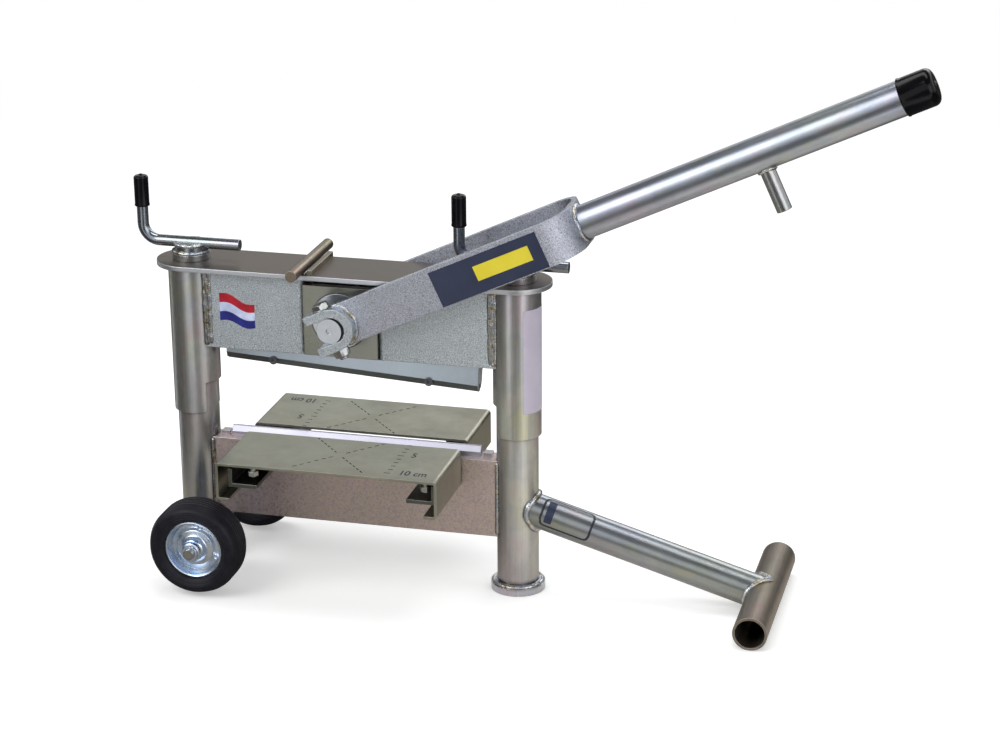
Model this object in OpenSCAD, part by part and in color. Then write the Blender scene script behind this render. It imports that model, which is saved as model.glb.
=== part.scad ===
// Hand-lever splitter for paving blocks. Millimetres, Z up.
// The origin is the middle of the right foot's underside, +X runs towards the lever, -Y is the front.

/* [Columns and feet] */
// room between each end of the blades and the nearest column axis
blade_room = 39; // [38:0.5:60]
// outside diameter of the two fixed columns
column_d = 44.5; // [40:0.5:50]
// wall of the columns and of the sleeves on them
tube_wall = 2.9; // [2.3:0.1:4]
// room all round between a column and its sleeve
sleeve_gap = 0.35; // [0.3:0.05:0.8]
// top of the fixed columns
column_top = 276; // [255:1:278]
// diameter of the two foot discs
foot_d = 58; // [50:1:70]
// thickness of the foot discs
foot_t = 8; // [5:0.5:12]

/* [Lower beam and blade] */
// top face of the lower beam
beam_top = 146.5; // [140:0.5:150]
// height of the lower beam
beam_h = 86; // [70:1:90]
// depth of the lower beam, front to back
beam_depth = 25; // [20:1:32]
// length of both blades, which sets the distance between the columns
blade_length = 278; // [240:1:340]
// height of the lower blade above its beam
lower_blade_h = 11.5; // [9:0.5:13]
// thickness of the lower blade
lower_blade_t = 10; // [8:0.5:14]
// size of the small blocks that keep the lower blade from sliding sideways
end_stop_l = 9; // [6:0.5:9.5]
// height of those blocks
end_stop_h = 5.5; // [4:0.5:8]

/* [Strut, cross tube and wheels] */
// outside diameter of the strut, the cross tube and the lever tube
bar_tube_d = 36; // [32:0.5:40]
// wall of these tubes
bar_tube_wall = 2.6; // [2:0.1:4]
// distance from the right column to the cross tube
cross_x = 266; // [240:1:300]
// length of the cross tube
cross_length = 200; // [160:1:260]
// height where the strut's axis meets the right column's axis
strut_z = 96; // [80:1:97]
// diameter of the wheel axle
axle_d = 12; // [10:0.5:12.5]
// outside diameter of the tyres
tyre_d = 101; // [92:1:104]
// width of the tyres
tyre_w = 42; // [34:1:44]
// distance from the middle to the outer face of each tyre
wheel_y = 114; // [110:1:122]
// inside diameter of the tyres
rim_d = 63; // [58:0.5:68]
// room between the axle and its bushes
bush_gap = 0.05; // [0.02:0.01:0.1]

/* [Sprung tables] */
// length of a table along the blade
table_length = 240; // [236:1:260]
// inner edge of a table, measured from the blade plane
table_inner = 14.5; // [13.5:0.5:18]
// outer edge of a table, measured from the blade plane
table_outer = 110.5; // [108:0.5:125]
// top face of the tables
table_top = 157; // [155:0.5:158]
// thickness of the folded sheet
sheet = 3; // [2:0.5:4]
// depth of the side walls below the top face
table_wall_h = 41.5; // [38:0.5:44]
// width of the flanges folded in at the foot of the side walls
table_flange = 14.5; // [8:0.5:18]
// how far a table can sink
table_travel = 4; // [2:0.5:4]
// diameter of the rubber buffers
buffer_d = 20; // [16:0.5:24]

/* [Head] */
// top face of the top plate
top_z = 344; // [340:0.5:350]
// thickness of the top plate
top_t = 5; // [4:0.5:8]
// room between the fork and the top plate, whose ends are round about the columns
fork_room = 5; // [3:0.5:8]
// lower end of the sleeves
sleeve_bottom = 176.5; // [176:0.5:190]
// width of the slots that let the sleeves pass the lower beam
slot_w = 38; // [34:1:40]
// height of those slots
slot_h = 33.5; // [33:0.5:36]
// lower edge of the upper beam
upper_bottom = 251.3; // [250:0.1:252]
// depth of the upper beam, front to back
upper_depth = 36; // [34:0.5:38]
// thickness of the upper beam's plates
upper_sheet = 5; // [4:0.1:5.2]
// width of the gap between its left and right halves
guide_w = 81; // [78:0.5:84]
// diameter of the stop bar on the top plate
stop_bar_d = 12; // [10:0.5:14]
// length of the stop bar
stop_bar_l = 124; // [112:1:130]
// distance of the stop bar behind the shaft axis
stop_bar_back = 38; // [36:0.5:46]

/* [Shaft and lever] */
// height of the shaft axis
shaft_z = 292.5; // [290:0.5:294]
// distance of the shaft axis from the middle of the blade
shaft_off = 8; // [6:0.5:9]
// throw of the eccentric pin
throw = 8; // [5:0.1:8]
// diameter of the eccentric pin
pin_d = 32; // [24:0.5:32]
// diameter of the two journal discs
journal_d = 62; // [58:0.5:66]
// diameter of the shaft ends
shaft_d = 27; // [22:0.5:28]
// room between a journal and its bearing plate
journal_gap = 0.05; // [0.02:0.01:0.1]
// lever angle above the horizontal at rest
lever_angle = 24.73; // [20:0.01:30]
// travel of the lever from rest up to the stop bar
lever_travel = 74; // [60:1:74]
// distance from the shaft axis to the end of the lever cap
lever_length = 663; // [560:1:760]
// distance from the shaft axis to the closed end of the fork
fork_length = 280; // [276:1:300]
// distance between the outer faces of the fork's arms
fork_w = 96; // [94:0.5:104]
// width of the fork's flat bar
fork_bar_w = 45; // [38:0.5:45]
// thickness of the fork's flat bar
fork_bar_t = 6; // [5:0.5:7]
// outside radius of the two bends at the fork's closed end
fork_bend_r = 34; // [24:1:44]
// thickness of the yokes at the fork's ends
yoke_t = 20; // [18:0.5:24]
// distance from the shaft axis to the rest peg
peg_u = 478; // [400:1:560]
// diameter of the rest peg
peg_d = 16; // [12:0.5:20]
// length of the rest peg below the lever tube
peg_l = 44; // [30:1:60]

/* [Press yoke and upper blade] */
// height of the blade's pivot
pivot_z = 258; // [257.5:0.1:258]
// diameter of the blade's pivot pin
pivot_d = 8; // [6:0.5:8]
// tilt of the loose upper blade at rest, right end low
blade_tilt = 3.45; // [2:0.05:3.45]
// thickness of the blade holder
holder_t = 18; // [14:0.5:18]
// thickness of the hardened blade insert
insert_t = 8; // [6:0.5:8]

/* [Height cranks] */
// diameter of the bent crank rods
crank_d = 12; // [10:0.5:13]
// height of the crank bars
crank_z = 361; // [358:0.5:364]
// reach of the left crank
left_reach = 53; // [48:1:64]
// reach of the right crank
right_reach = 61; // [48:1:64]
// length of the plain end on the other side
crank_stub = 55; // [40:1:58]
// top of the crank grips
grip_top = 431; // [415:1:450]
// length of the crank grips
grip_l = 33; // [26:1:45]
// diameter of the crank grips
grip_d = 15.4; // [14.5:0.1:18]
// diameter of the threaded spindles
spindle_d = 20; // [16:0.5:22]

/* [Hidden] */
$fn = 72;
eps = 0.05;
contact = 0.1;
big = 1000;
column_spacing = blade_length + 2 * blade_room;
left_x = -column_spacing;
mid_x = -column_spacing / 2;
column_r = column_d / 2;
column_bore_r = column_r - tube_wall;
sleeve_bore_r = column_r + sleeve_gap;
sleeve_r = sleeve_bore_r + tube_wall;
beam_bottom = beam_top - beam_h;
bar_r = bar_tube_d / 2;
bar_bore_r = bar_r - bar_tube_wall;
strut_drop = atan((strut_z - bar_r) / cross_x);
strut_l = cross_x / cos(strut_drop);
axle_r = axle_d / 2;
axle_x = left_x + column_r + axle_r + eps;
axle_z = beam_bottom - axle_r - eps;
axle_half = wheel_y + 8.5;
hub_r = 10;
bush_r = 8.5;
rim_t = 2.5;
top_under = top_z - top_t;
top_w = fork_w - 2 * fork_bar_t - 2 * fork_room;
table_under = table_top - sheet;
bracket_t = 4;
bracket_drop = 28;
bracket_z = table_top - bracket_drop;
bracket_flange = 31;
bracket_left_room = 12;
bracket_left = bracket_left_room - table_length / 2;
bracket_room = 0.5;
bracket_right = table_length / 2 - sheet - bracket_room;
bracket_setback = 6.5;
bracket_reach = table_outer - bracket_setback;
bracket_clear = 1;
buffer_y = 30;
stud_setback = 10.5;
stud_y = table_outer - stud_setback;
stud_d = 6;
stud_l = 12.5;
stud_end = 1.5;
small_hex_r = 5.8;
stud_clear = 1.2;
stud_left = bracket_left + bracket_flange - small_hex_r + stud_clear;
stud_right = bracket_right - bracket_t - small_hex_r - stud_clear;
small_nut_h = 5;
bend_r = sheet + 1.5;
mark_w = 1.2;
mark_l = 5;
mark_x = 61.5;
mark_count = 9;
mark_pitch = 10;
mark_first = 16;
cross_y = 58.5;
cross_turn = 48.5;
dash_count = 6;
dash_first = 8;
dash_pitch = 8.8;
dash_l = 5;
press_side = 0.4;
guide_x = mid_x - shaft_off;
guide_left = guide_x - guide_w / 2;
guide_right = guide_x + guide_w / 2;
plate_in = upper_depth / 2 - upper_sheet;
lip_room = 0.5;
lip_in = holder_t / 2 + lip_room;
press_half_y = holder_t / 2 + 3;
bearing_in = press_half_y + press_side;
bearing_proud = 2;
bearing_out = upper_depth / 2 + bearing_proud;
bearing_rise = 36;
bearing_top = shaft_z + bearing_rise;
bearing_clear = 0.3;
journal_proud = 3;
journal_r = journal_d / 2;
journal_bevel = 1.5;
lathe_centre_r = 3;
lathe_centre_depth = 2;
shaft_x = mid_x - shaft_off;
pin_angle = -lever_travel / 2;
pin_x = shaft_x + throw * cos(pin_angle);
pin_z = shaft_z + throw * sin(pin_angle);
pin_r = pin_d / 2;
press_gap = 0.45;
pivot_cover = 4.7;
press_bottom = pivot_z - pivot_cover;
tongue_half_y = 4;
tongue_half = 14;
tongue_room = 4;
tongue_gap = 0.3;
tongue_r = 5.5;
holder_half = blade_length / 2;
holder_bottom = -28.5;
holder_shoulder = -22;
holder_waist = -8;
holder_top = 5;
insert_bottom = -31;
screw_x = 86;
screw_z = -24.6;
screw_r = 3;
screw_head_r = 4.5;
screw_gap = 0.1;
screw_sink = 2.4;
screw_proud = 1.6;
screw_short = 1.5;
yoke_u = 4;
yoke_half_w = fork_bar_w / 2 + contact;
yoke_lap = 2;
fork_in = fork_w / 2 - fork_bar_t;
yoke_in = fork_in - yoke_lap;
yoke_out = yoke_in + yoke_t;
yoke_mid = (yoke_in + yoke_out) / 2;
shaft_recess = 2;
shaft_half = yoke_out - shaft_recess;
bolt_r = 5;
hex_r = 9.2;
bolt_head_h = 6.4;
bolt_end = 11;
yoke_nut_h = 8;
yoke_prong = -20;
bend_u = fork_length - fork_bend_r;
bend_y = fork_w / 2 - fork_bend_r;
cap_l = 34.5;
cap_t = 1.2;
cap_end = 4;
tube_end = lever_length - cap_end;
spindle_r = spindle_d / 2;
spindle_low = 190;
collar_r = 20;
collar_h = 7;
collar_top = top_z + collar_h;
collar_gap = 0.2;
boss_r = 17.5;
crank_bend = 18;
grip_end = 3;
nut_h = 26;
retainer_h = 4;
retainer_gap = 0.3;
end_stop_gap = 3;

// Helpers

// a box from its two corners
module block(low, high) translate(low) cube(high - low);

// a round bar along Y between two y values
module rod_y(x, z, r, y0, y1) translate([x, y0, z]) rotate([-90, 0, 0]) cylinder(r = r, h = y1 - y0);

// a tube standing on z0
module tube_z(x, r, bore, z0, z1) {
    difference() {
        translate([x, 0, z0]) cylinder(r = r, h = z1 - z0);
        translate([x, 0, z0 - 1]) cylinder(r = bore, h = z1 - z0 + 2);
    }
}

// both signs, left or right and front or back
module both_y() for (s = [-1, 1]) scale([1, s, 1]) children();

// the lever's own frame: X along the lever, Z across it
module lever_frame() translate([shaft_x, 0, shaft_z]) rotate([0, -lever_angle, 0]) children();

// the upper blade's own frame, at its pivot
module blade_frame() translate([mid_x, 0, pivot_z]) rotate([0, blade_tilt, 0]) children();

// the strut's own frame: X down along the strut
module strut_frame() translate([0, 0, strut_z]) rotate([0, strut_drop, 0]) children();

// Lower frame

module column(x) color("silver") tube_z(x, column_r, column_bore_r, foot_t, column_top);

module left_column() column(left_x);

module right_column() column(0);

module feet() color("silver") for (x = [left_x, 0]) translate([x, 0, 0]) cylinder(d = foot_d, h = foot_t);

module lower_beam() color("rosybrown") difference() {
    block([left_x, -beam_depth / 2, beam_bottom], [0, beam_depth / 2, beam_top]);
    for (x = [left_x, 0]) translate([x, 0, beam_bottom - 1]) cylinder(r = column_r + eps, h = beam_h + 2);
}

// the lower blade is bevelled on both sides to a narrow flat edge
module lower_blade() color("lavender") {
    half = lower_blade_t / 2;
    edge = 1.5;
    shoulder = lower_blade_h - 6;
    translate([mid_x - holder_half, 0, beam_top]) rotate([90, 0, 90]) linear_extrude(blade_length)
        polygon([[-half, 0], [half, 0], [half, shoulder],
                 [edge, lower_blade_h], [-edge, lower_blade_h], [-half, shoulder]]);
}

module end_stops() color("dimgray") for (s = [-1, 1])
    translate([mid_x + s * (holder_half + end_stop_gap + end_stop_l / 2), 0, beam_top])
        translate([-end_stop_l / 2, -lower_blade_t / 2, 0]) cube([end_stop_l, lower_blade_t, end_stop_h]);

// the strut is coped to the column at one end and to the cross tube at the other
module strut_tube() color("silver") difference() {
    strut_frame() rotate([0, 90, 0]) cylinder(r = bar_r, h = strut_l);
    strut_frame() translate([-1, 0, 0]) rotate([0, 90, 0]) cylinder(r = bar_bore_r, h = strut_l + 2);
    cylinder(r = column_r + eps, h = 2 * strut_z);
    rod_y(cross_x, bar_r, bar_r + eps, -cross_length / 2, cross_length / 2);
}

module cross_tube() color("silver") difference() {
    rod_y(cross_x, bar_r, bar_r, -cross_length / 2, cross_length / 2);
    rod_y(cross_x, bar_r, bar_bore_r, -cross_length / 2 - 1, cross_length / 2 + 1);
}

module axle() color("silver") rod_y(axle_x, axle_z, axle_r, -axle_half, axle_half);

// push-on caps that keep the wheels on the axle
module axle_caps() color("silver") both_y() difference() {
    rod_y(axle_x, axle_z, axle_r + 2.6, wheel_y + 0.6, wheel_y + 4.6);
    rod_y(axle_x, axle_z, axle_r + eps, wheel_y, wheel_y + 6);
}

// one angle bracket: a flange for the rubber buffer and an upright leg, both welded to the beam
module bracket(x0, x1, leg_x) {
    y0 = beam_depth / 2 + eps;
    leg_top = table_under - table_travel - bracket_clear;
    block([mid_x + x0, y0, bracket_z], [mid_x + x1, bracket_reach, bracket_z + bracket_t]);
    block([mid_x + leg_x, y0, bracket_z], [mid_x + leg_x + bracket_t, bracket_reach, leg_top]);
}

module table_brackets() color("silver") both_y() {
    bracket(bracket_left, bracket_left + bracket_flange, bracket_left);
    bracket(bracket_right - bracket_flange, bracket_right, bracket_right - bracket_t);
}

// places of the two rubber buffers of a table
module at_buffers() for (x = [bracket_left + bracket_flange / 2, bracket_right - bracket_flange / 2])
    translate([mid_x + x, buffer_y, 0]) children();

module buffers() color("black") at_buffers() translate([0, 0, bracket_z + bracket_t + eps])
    cylinder(d = buffer_d, h = table_under - bracket_z - bracket_t - 2 * eps);

module front_buffers() scale([1, -1, 1]) buffers();

module back_buffers() buffers();

module buffer_nuts() color("silver") both_y() at_buffers() translate([0, 0, bracket_z - small_nut_h - eps])
    cylinder(r = small_hex_r, h = small_nut_h, $fn = 6);

module spindle_nuts() color("dimgray") for (x = [left_x, 0])
    tube_z(x, column_bore_r - eps, spindle_r + 0.3, column_top - nut_h, column_top);

// Head

module top_plate() color("silver") difference() {
    union() {
        block([left_x, -top_w / 2, top_under], [0, top_w / 2, top_z]);
        for (x = [left_x, 0]) translate([x, 0, top_under]) cylinder(d = top_w, h = top_t);
    }
    for (x = [left_x, 0]) translate([x, 0, top_under - 1]) cylinder(r = spindle_r + 0.3, h = top_t + 2);
}

// a sleeve with the slot that faces the other column; side is 1 for a slot towards +X
module sleeve(x, side) color("silver") difference() {
    tube_z(x, sleeve_r, sleeve_bore_r, sleeve_bottom, top_under);
    translate([x + (side > 0 ? 0 : -2 * sleeve_r), -slot_w / 2, sleeve_bottom - 1])
        cube([2 * sleeve_r, slot_w, slot_h + 1]);
}

module left_sleeve() sleeve(left_x, 1);

module right_sleeve() sleeve(0, -1);

// one plate of the upper beam, drawn for the back: a flat web, its inner edge bent in by a quarter turn;
// x_sleeve is the column's axis, x_lip the outer face of the bent lip
module upper_plate(x_sleeve, x_lip) color("gainsboro") {
    half = upper_depth / 2;
    dir = sign(x_sleeve - x_lip);
    bend_r = upper_sheet + 1;
    bend_x = x_lip + dir * bend_r;
    height = top_under - upper_bottom;
    difference() {
        union() {
            block([min(x_sleeve, bend_x), plate_in, upper_bottom], [max(x_sleeve, bend_x), half, top_under]);
            block([min(x_lip, x_lip + dir * upper_sheet), lip_in, upper_bottom],
                  [max(x_lip, x_lip + dir * upper_sheet), half - bend_r, top_under]);
            intersection() {
                translate([bend_x, half - bend_r, upper_bottom]) difference() {
                    cylinder(r = bend_r, h = height);
                    translate([0, 0, -1]) cylinder(r = bend_r - upper_sheet, h = height + 2);
                }
                block([min(x_lip, bend_x), half - bend_r, upper_bottom - 1],
                      [max(x_lip, bend_x), half, top_under + 1]);
            }
        }
        translate([x_sleeve, 0, upper_bottom - 1]) cylinder(r = sleeve_r + eps, h = height + 2);
    }
}

module left_back_plate() upper_plate(left_x, guide_left);

module left_front_plate() scale([1, -1, 1]) upper_plate(left_x, guide_left);

module right_back_plate() upper_plate(0, guide_right);

module right_front_plate() scale([1, -1, 1]) upper_plate(0, guide_right);

module bearing_plate() color("lightsteelblue") difference() {
    block([guide_left + eps, bearing_in, upper_bottom + bearing_clear],
          [guide_right - eps, bearing_out, bearing_top]);
    rod_y(shaft_x, shaft_z, journal_r + journal_gap, bearing_in - 1, bearing_out + 1);
}

module back_bearing_plate() bearing_plate();

module front_bearing_plate() scale([1, -1, 1]) bearing_plate();

module stop_bar() color("silver")
    rod_y(shaft_x - stop_bar_back, top_z + stop_bar_d / 2, stop_bar_d / 2, -stop_bar_l / 2, stop_bar_l / 2);

module stop_rib() color("silver") {
    x = shaft_x - stop_bar_back + stop_bar_d / 2 + 3;
    block([x, 1 - top_w / 2, top_z], [x + 5, top_w / 2 - 1, top_z + 6]);
}

// Height cranks

// a bent rod through a welded boss; side is -1 for a crank that reaches towards -X
module crank(x, reach, side) color("silver") translate([x, 0, 0]) scale([side, 1, 1]) {
    translate([-crank_stub, 0, crank_z]) rotate([0, 90, 0])
        cylinder(d = crank_d, h = crank_stub + reach - crank_bend);
    translate([reach - crank_bend, 0, crank_z + crank_bend]) rotate([90, 0, 0])
        rotate([0, 0, -90]) rotate_extrude(angle = 90) translate([crank_bend, 0]) circle(d = crank_d);
    translate([reach, 0, crank_z + crank_bend])
        cylinder(d = crank_d, h = grip_top - grip_end - crank_z - crank_bend);
    translate([0, 0, collar_top + eps]) cylinder(r = boss_r, h = crank_z - collar_top + 1);
}

// a soft grip with a domed top and a small nub
module grip(x) color("black") translate([x, 0, grip_top - grip_l]) difference() {
    rotate_extrude() polygon([[0, 0], [grip_d / 2, 0], [grip_d / 2, grip_l - 2], [grip_d / 2 - 2, grip_l],
                              [2, grip_l], [2, grip_l + 1.5], [0, grip_l + 1.5]]);
    translate([0, 0, -1]) cylinder(r = crank_d / 2 + eps, h = grip_l - grip_end + 1 + eps);
}

module collar(x) color("silver") tube_z(x, collar_r, spindle_r + eps, top_z + collar_gap, collar_top);

module spindle(x) color("dimgray") translate([x, 0, spindle_low])
    cylinder(r = spindle_r, h = collar_top - spindle_low);

module retainer(x) color("dimgray") translate([0, 0, top_under - retainer_gap])
    tube_z(x, spindle_r + 5, spindle_r + eps, -retainer_h, 0);

module left_crank() crank(left_x, left_reach, -1);

module left_grip() grip(left_x - left_reach);

module left_collar() collar(left_x);

module left_spindle() spindle(left_x);

module left_retainer() retainer(left_x);

module right_crank() crank(0, right_reach, -1);

module right_grip() grip(-right_reach);

module right_collar() collar(0);

module right_spindle() spindle(0);

module right_retainer() retainer(0);

// Lever

// the fork is one flat bar bent twice to a U, its two ends hollowed to sit on the round of the yokes
module fork() color("lightgray") lever_frame() {
    both_y() difference() {
        block([0, fork_in, -fork_bar_w / 2], [bend_u, fork_w / 2, fork_bar_w / 2]);
        rod_y(yoke_u, 0, yoke_half_w + contact, fork_in - 1, fork_w / 2 + 1);
        block([-1, fork_in - 1, -fork_bar_w], [yoke_u, fork_w / 2 + 1, fork_bar_w]);
    }
    both_y() intersection() {
        translate([bend_u, bend_y, -fork_bar_w / 2]) difference() {
            cylinder(r = fork_bend_r, h = fork_bar_w);
            translate([0, 0, -1]) cylinder(r = fork_bend_r - fork_bar_t, h = fork_bar_w + 2);
        }
        block([bend_u, bend_y, -fork_bar_w], [fork_length + 1, fork_w, fork_bar_w]);
    }
    block([fork_length - fork_bar_t, -bend_y, -fork_bar_w / 2], [fork_length, bend_y, fork_bar_w / 2]);
}

// each yoke is a U that slips over a shaft end, open away from the lever, with a bolt across its prongs
module fork_yokes() color("silver") lever_frame() both_y() difference() {
    union() {
        rod_y(yoke_u, 0, yoke_half_w, yoke_in, yoke_out);
        block([yoke_prong, yoke_in, -yoke_half_w], [yoke_u, yoke_out, yoke_half_w]);
    }
    rod_y(yoke_u, 0, shaft_d / 2 + contact, yoke_in - 1, yoke_out + 1);
    block([yoke_prong - 1, yoke_in - 1, -shaft_d / 2 - contact],
          [yoke_u, yoke_out + 1, shaft_d / 2 + contact]);
    translate([0, yoke_mid, -fork_bar_w]) cylinder(r = bolt_r + contact, h = 2 * fork_bar_w);
}

module yoke_bolts() color("silver") lever_frame() both_y() translate([0, yoke_mid, 0]) {
    translate([0, 0, yoke_half_w + eps]) cylinder(r = hex_r, h = bolt_head_h, $fn = 6);
    translate([0, 0, -yoke_half_w - bolt_end]) cylinder(r = bolt_r, h = 2 * yoke_half_w + bolt_end + 1);
}

module yoke_nuts() color("silver") lever_frame() both_y()
    translate([0, yoke_mid, -yoke_half_w - yoke_nut_h - eps]) difference() {
        cylinder(r = hex_r, h = yoke_nut_h, $fn = 6);
        translate([0, 0, -1]) cylinder(r = bolt_r + eps, h = yoke_nut_h + 2);
    }

// the tube stands on the fork's closed end
module lever_tube() color("silver") lever_frame() translate([fork_length + eps, 0, 0]) rotate([0, 90, 0]) {
    length = tube_end - fork_length - eps;
    difference() {
        cylinder(r = bar_r, h = length);
        translate([0, 0, -1]) cylinder(r = bar_bore_r, h = length + 2);
    }
}

// a push-on plastic cap with a bevelled end and a small nub
module lever_cap() color("black") lever_frame() translate([lever_length - cap_l, 0, 0]) rotate([0, 90, 0]) {
    r = bar_r + cap_t;
    bevel = 2.5;
    nub_r = 3;
    difference() {
        rotate_extrude()
            polygon([[0, 0], [r, 0], [r, cap_l - bevel], [r - bevel, cap_l], [nub_r, cap_l],
                     [nub_r, cap_l + 2], [0, cap_l + 2]]);
        translate([0, 0, -1]) cylinder(r = bar_r + eps, h = tube_end - lever_length + cap_l + 1 + eps);
    }
}

module rest_peg() color("silver") lever_frame() difference() {
    translate([peg_u, 0, -bar_r - peg_l]) cylinder(d = peg_d, h = peg_l + bar_r);
    rotate([0, 90, 0]) cylinder(r = bar_r + eps, h = lever_length);
}

// two shaft ends, two journal discs and the eccentric pin between them, turned from one bar
module eccentric_shaft() color("silver") difference() {
    union() {
        both_y() {
            rod_y(shaft_x, shaft_z, shaft_d / 2, bearing_in, shaft_half);
            rod_y(shaft_x, shaft_z, journal_r, bearing_in, bearing_out + journal_proud - journal_bevel);
            translate([shaft_x, bearing_out + journal_proud - journal_bevel, shaft_z]) rotate([-90, 0, 0])
                cylinder(r1 = journal_r, r2 = journal_r - journal_bevel, h = journal_bevel);
        }
        rod_y(pin_x, pin_z, pin_r, -bearing_in, bearing_in);
    }
    lever_frame() both_y() translate([0, yoke_mid, -fork_bar_w])
        cylinder(r = bolt_r + contact, h = 2 * fork_bar_w);
    both_y() rod_y(shaft_x, shaft_z, lathe_centre_r, shaft_half - lathe_centre_depth, shaft_half + 1);
}

// Press yoke and upper blade

// the yoke slides between the lips and the bearing plates; the eccentric pin works in its slot
module press_yoke() color("dimgray") {
    low = pin_z - pin_r - press_gap;
    high = pin_z + pin_r + press_gap;
    groove = tongue_half_y + tongue_gap;
    roof = 6;
    slot_left = 10;
    slot_right = 6;
    difference() {
        block([guide_left + press_side, -press_half_y, press_bottom],
              [guide_right - press_side, press_half_y, high + roof]);
        block([mid_x - pin_r - slot_left, -big, low], [mid_x + pin_r + slot_right, big, high]);
        block([mid_x - tongue_half - tongue_room, -groove, press_bottom - 1],
              [mid_x + tongue_half + tongue_room, groove, pivot_z + tongue_r + 2 * tongue_gap]);
        rod_y(mid_x, pivot_z, pivot_d / 2 + eps, -big, big);
    }
}

module pivot_pin() color("silver") rod_y(mid_x, pivot_z, pivot_d / 2, -press_half_y, press_half_y);

// the holder is cut down under the yoke, with a tongue on the pivot pin
module blade_holder() color("lightsteelblue") blade_frame() {
    half = holder_t / 2;
    waist_room = 3.5;
    chamfer = 3;
    waist_left = guide_left - mid_x - waist_room;
    waist_right = guide_right - mid_x + waist_room;
    difference() {
        union() {
            translate([-holder_half, 0, 0]) rotate([90, 0, 90]) linear_extrude(blade_length)
                polygon([[-half + chamfer, holder_bottom], [half - chamfer, holder_bottom],
                         [half, holder_shoulder], [half, holder_waist],
                         [-half, holder_waist], [-half, holder_shoulder]]);
            block([-holder_half, -half, holder_waist], [waist_left, half, holder_top]);
            block([waist_right, -half, holder_waist], [holder_half, half, holder_top]);
            block([-tongue_half, -tongue_half_y, holder_waist], [tongue_half, tongue_half_y, 0]);
            rod_y(0, 0, tongue_r, -tongue_half_y, tongue_half_y);
        }
        rod_y(0, 0, pivot_d / 2 + bush_gap, -half, half);
        block([-big, -insert_t / 2 - eps, holder_bottom - 1], [big, insert_t / 2 + eps, holder_shoulder]);
        for (x = [-screw_x, screw_x]) {
            rod_y(x, screw_z, screw_r + eps, -half - 1, half + 1);
            rod_y(x, screw_z, screw_head_r + screw_gap, -half - 1, -half + screw_sink);
        }
    }
}

module blade_insert() color("dimgray") blade_frame() difference() {
    half = insert_t / 2;
    edge = 1;
    bevel = 3;
    translate([-holder_half, 0, 0]) rotate([90, 0, 90]) linear_extrude(blade_length)
        polygon([[-edge, insert_bottom], [edge, insert_bottom], [half, insert_bottom + bevel],
                 [half, holder_shoulder - eps], [-half, holder_shoulder - eps],
                 [-half, insert_bottom + bevel]]);
    for (x = [-screw_x, screw_x]) rod_y(x, screw_z, screw_r + eps, -half - 1, half + 1);
}

module blade_screws() color("black") blade_frame() for (x = [-screw_x, screw_x]) difference() {
    half = holder_t / 2;
    socket_r = 2.6;
    union() {
        rod_y(x, screw_z, screw_r, -half, half - screw_short);
        rod_y(x, screw_z, screw_head_r, -half - screw_proud, -half + screw_sink - eps);
    }
    translate([x, -half - 2 * screw_proud, screw_z]) rotate([-90, 0, 0])
        cylinder(r = socket_r, h = screw_proud + screw_sink, $fn = 6);
}

// Wheels, drawn for the back

// a round-shouldered rubber tyre with two grooves in its tread, symmetric about its middle
module tyre() color("black") translate([axle_x, wheel_y - tyre_w / 2, axle_z]) rotate([90, 0, 0]) {
    r = tyre_d / 2;
    bead = rim_d / 2;
    half = tyre_w / 2;
    bead_in = 5;
    bead_rise = 4;
    bulge = 2;
    wall_top = 12;
    shoulder = 6;
    shoulder_in = 6.5;
    crown = 0.4;
    tread_in = 12;
    groove = 1.5;
    slope = 0.5;
    side = [[bead, half - bead_in], [bead + bead_rise, half - bulge], [r - wall_top, half],
            [r - shoulder, half - bulge], [r - bulge, half - shoulder_in], [r - crown, half - tread_in],
            [r - groove, half - tread_in - slope], [r - groove, half - tread_in - slope - groove],
            [r, half - tread_in - 2 * slope - groove]];
    count = len(side);
    other = [for (i = [count - 1:-1:0]) [side[i][0], -side[i][1]]];
    rotate_extrude() polygon(concat(side, other));
}

// a pressed rim: rolled lips, drum, dished web with two round holes, and a hub tube
module rim() color("lightsteelblue") translate([axle_x, wheel_y, axle_z]) rotate([90, 0, 0]) {
    r = rim_d / 2 - eps;
    drum = r - rim_t;
    dish_r = hub_r + 8;
    lip = 6;
    web_hub = 11;
    web_dish = 16;
    web_drum = 21;
    hub_front = 3;
    hub_back = tyre_w - 4;
    hole_r = 2.6;
    hole_ring = rim_d / 2 - 9;
    difference() {
        rotate_extrude()
            polygon([[drum, lip], [r, lip], [r, tyre_w - lip], [drum, tyre_w - lip], [drum, web_drum + rim_t],
                     [dish_r, web_dish + rim_t], [hub_r, web_hub + rim_t], [hub_r, hub_back],
                     [bush_r, hub_back], [bush_r, hub_front], [hub_r, hub_front], [hub_r, web_hub],
                     [dish_r, web_dish], [drum, web_drum]]);
        for (a = [75, 255]) rotate([0, 0, a]) translate([hole_ring, 0, -1])
            cylinder(r = hole_r, h = tyre_w + 2);
    }
}

module bush() color("dimgray") difference() {
    rod_y(axle_x, axle_z, bush_r - eps, wheel_y - tyre_w + 3, wheel_y - 2.6);
    rod_y(axle_x, axle_z, axle_r + bush_gap, wheel_y - tyre_w, wheel_y);
}

module back_tyre() tyre();

module back_rim() rim();

module back_bush() bush();

module front_tyre() scale([1, -1, 1]) tyre();

module front_rim() scale([1, -1, 1]) rim();

module front_bush() scale([1, -1, 1]) bush();

// Tables, drawn for the front; the back one is the same part turned half round

// a quarter of a bent sheet along Y, up for the outer top corner and down for the outer bottom corner
module sheet_bend(x, z, up) intersection() {
    difference() {
        rod_y(x, z, bend_r, -table_outer, -table_inner);
        rod_y(x, z, bend_r - sheet, -table_outer - 1, -table_inner + 1);
    }
    block([x, -table_outer - 1, up ? z : z - bend_r], [x + bend_r, 1 - table_inner, up ? z + bend_r : z]);
}

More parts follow.
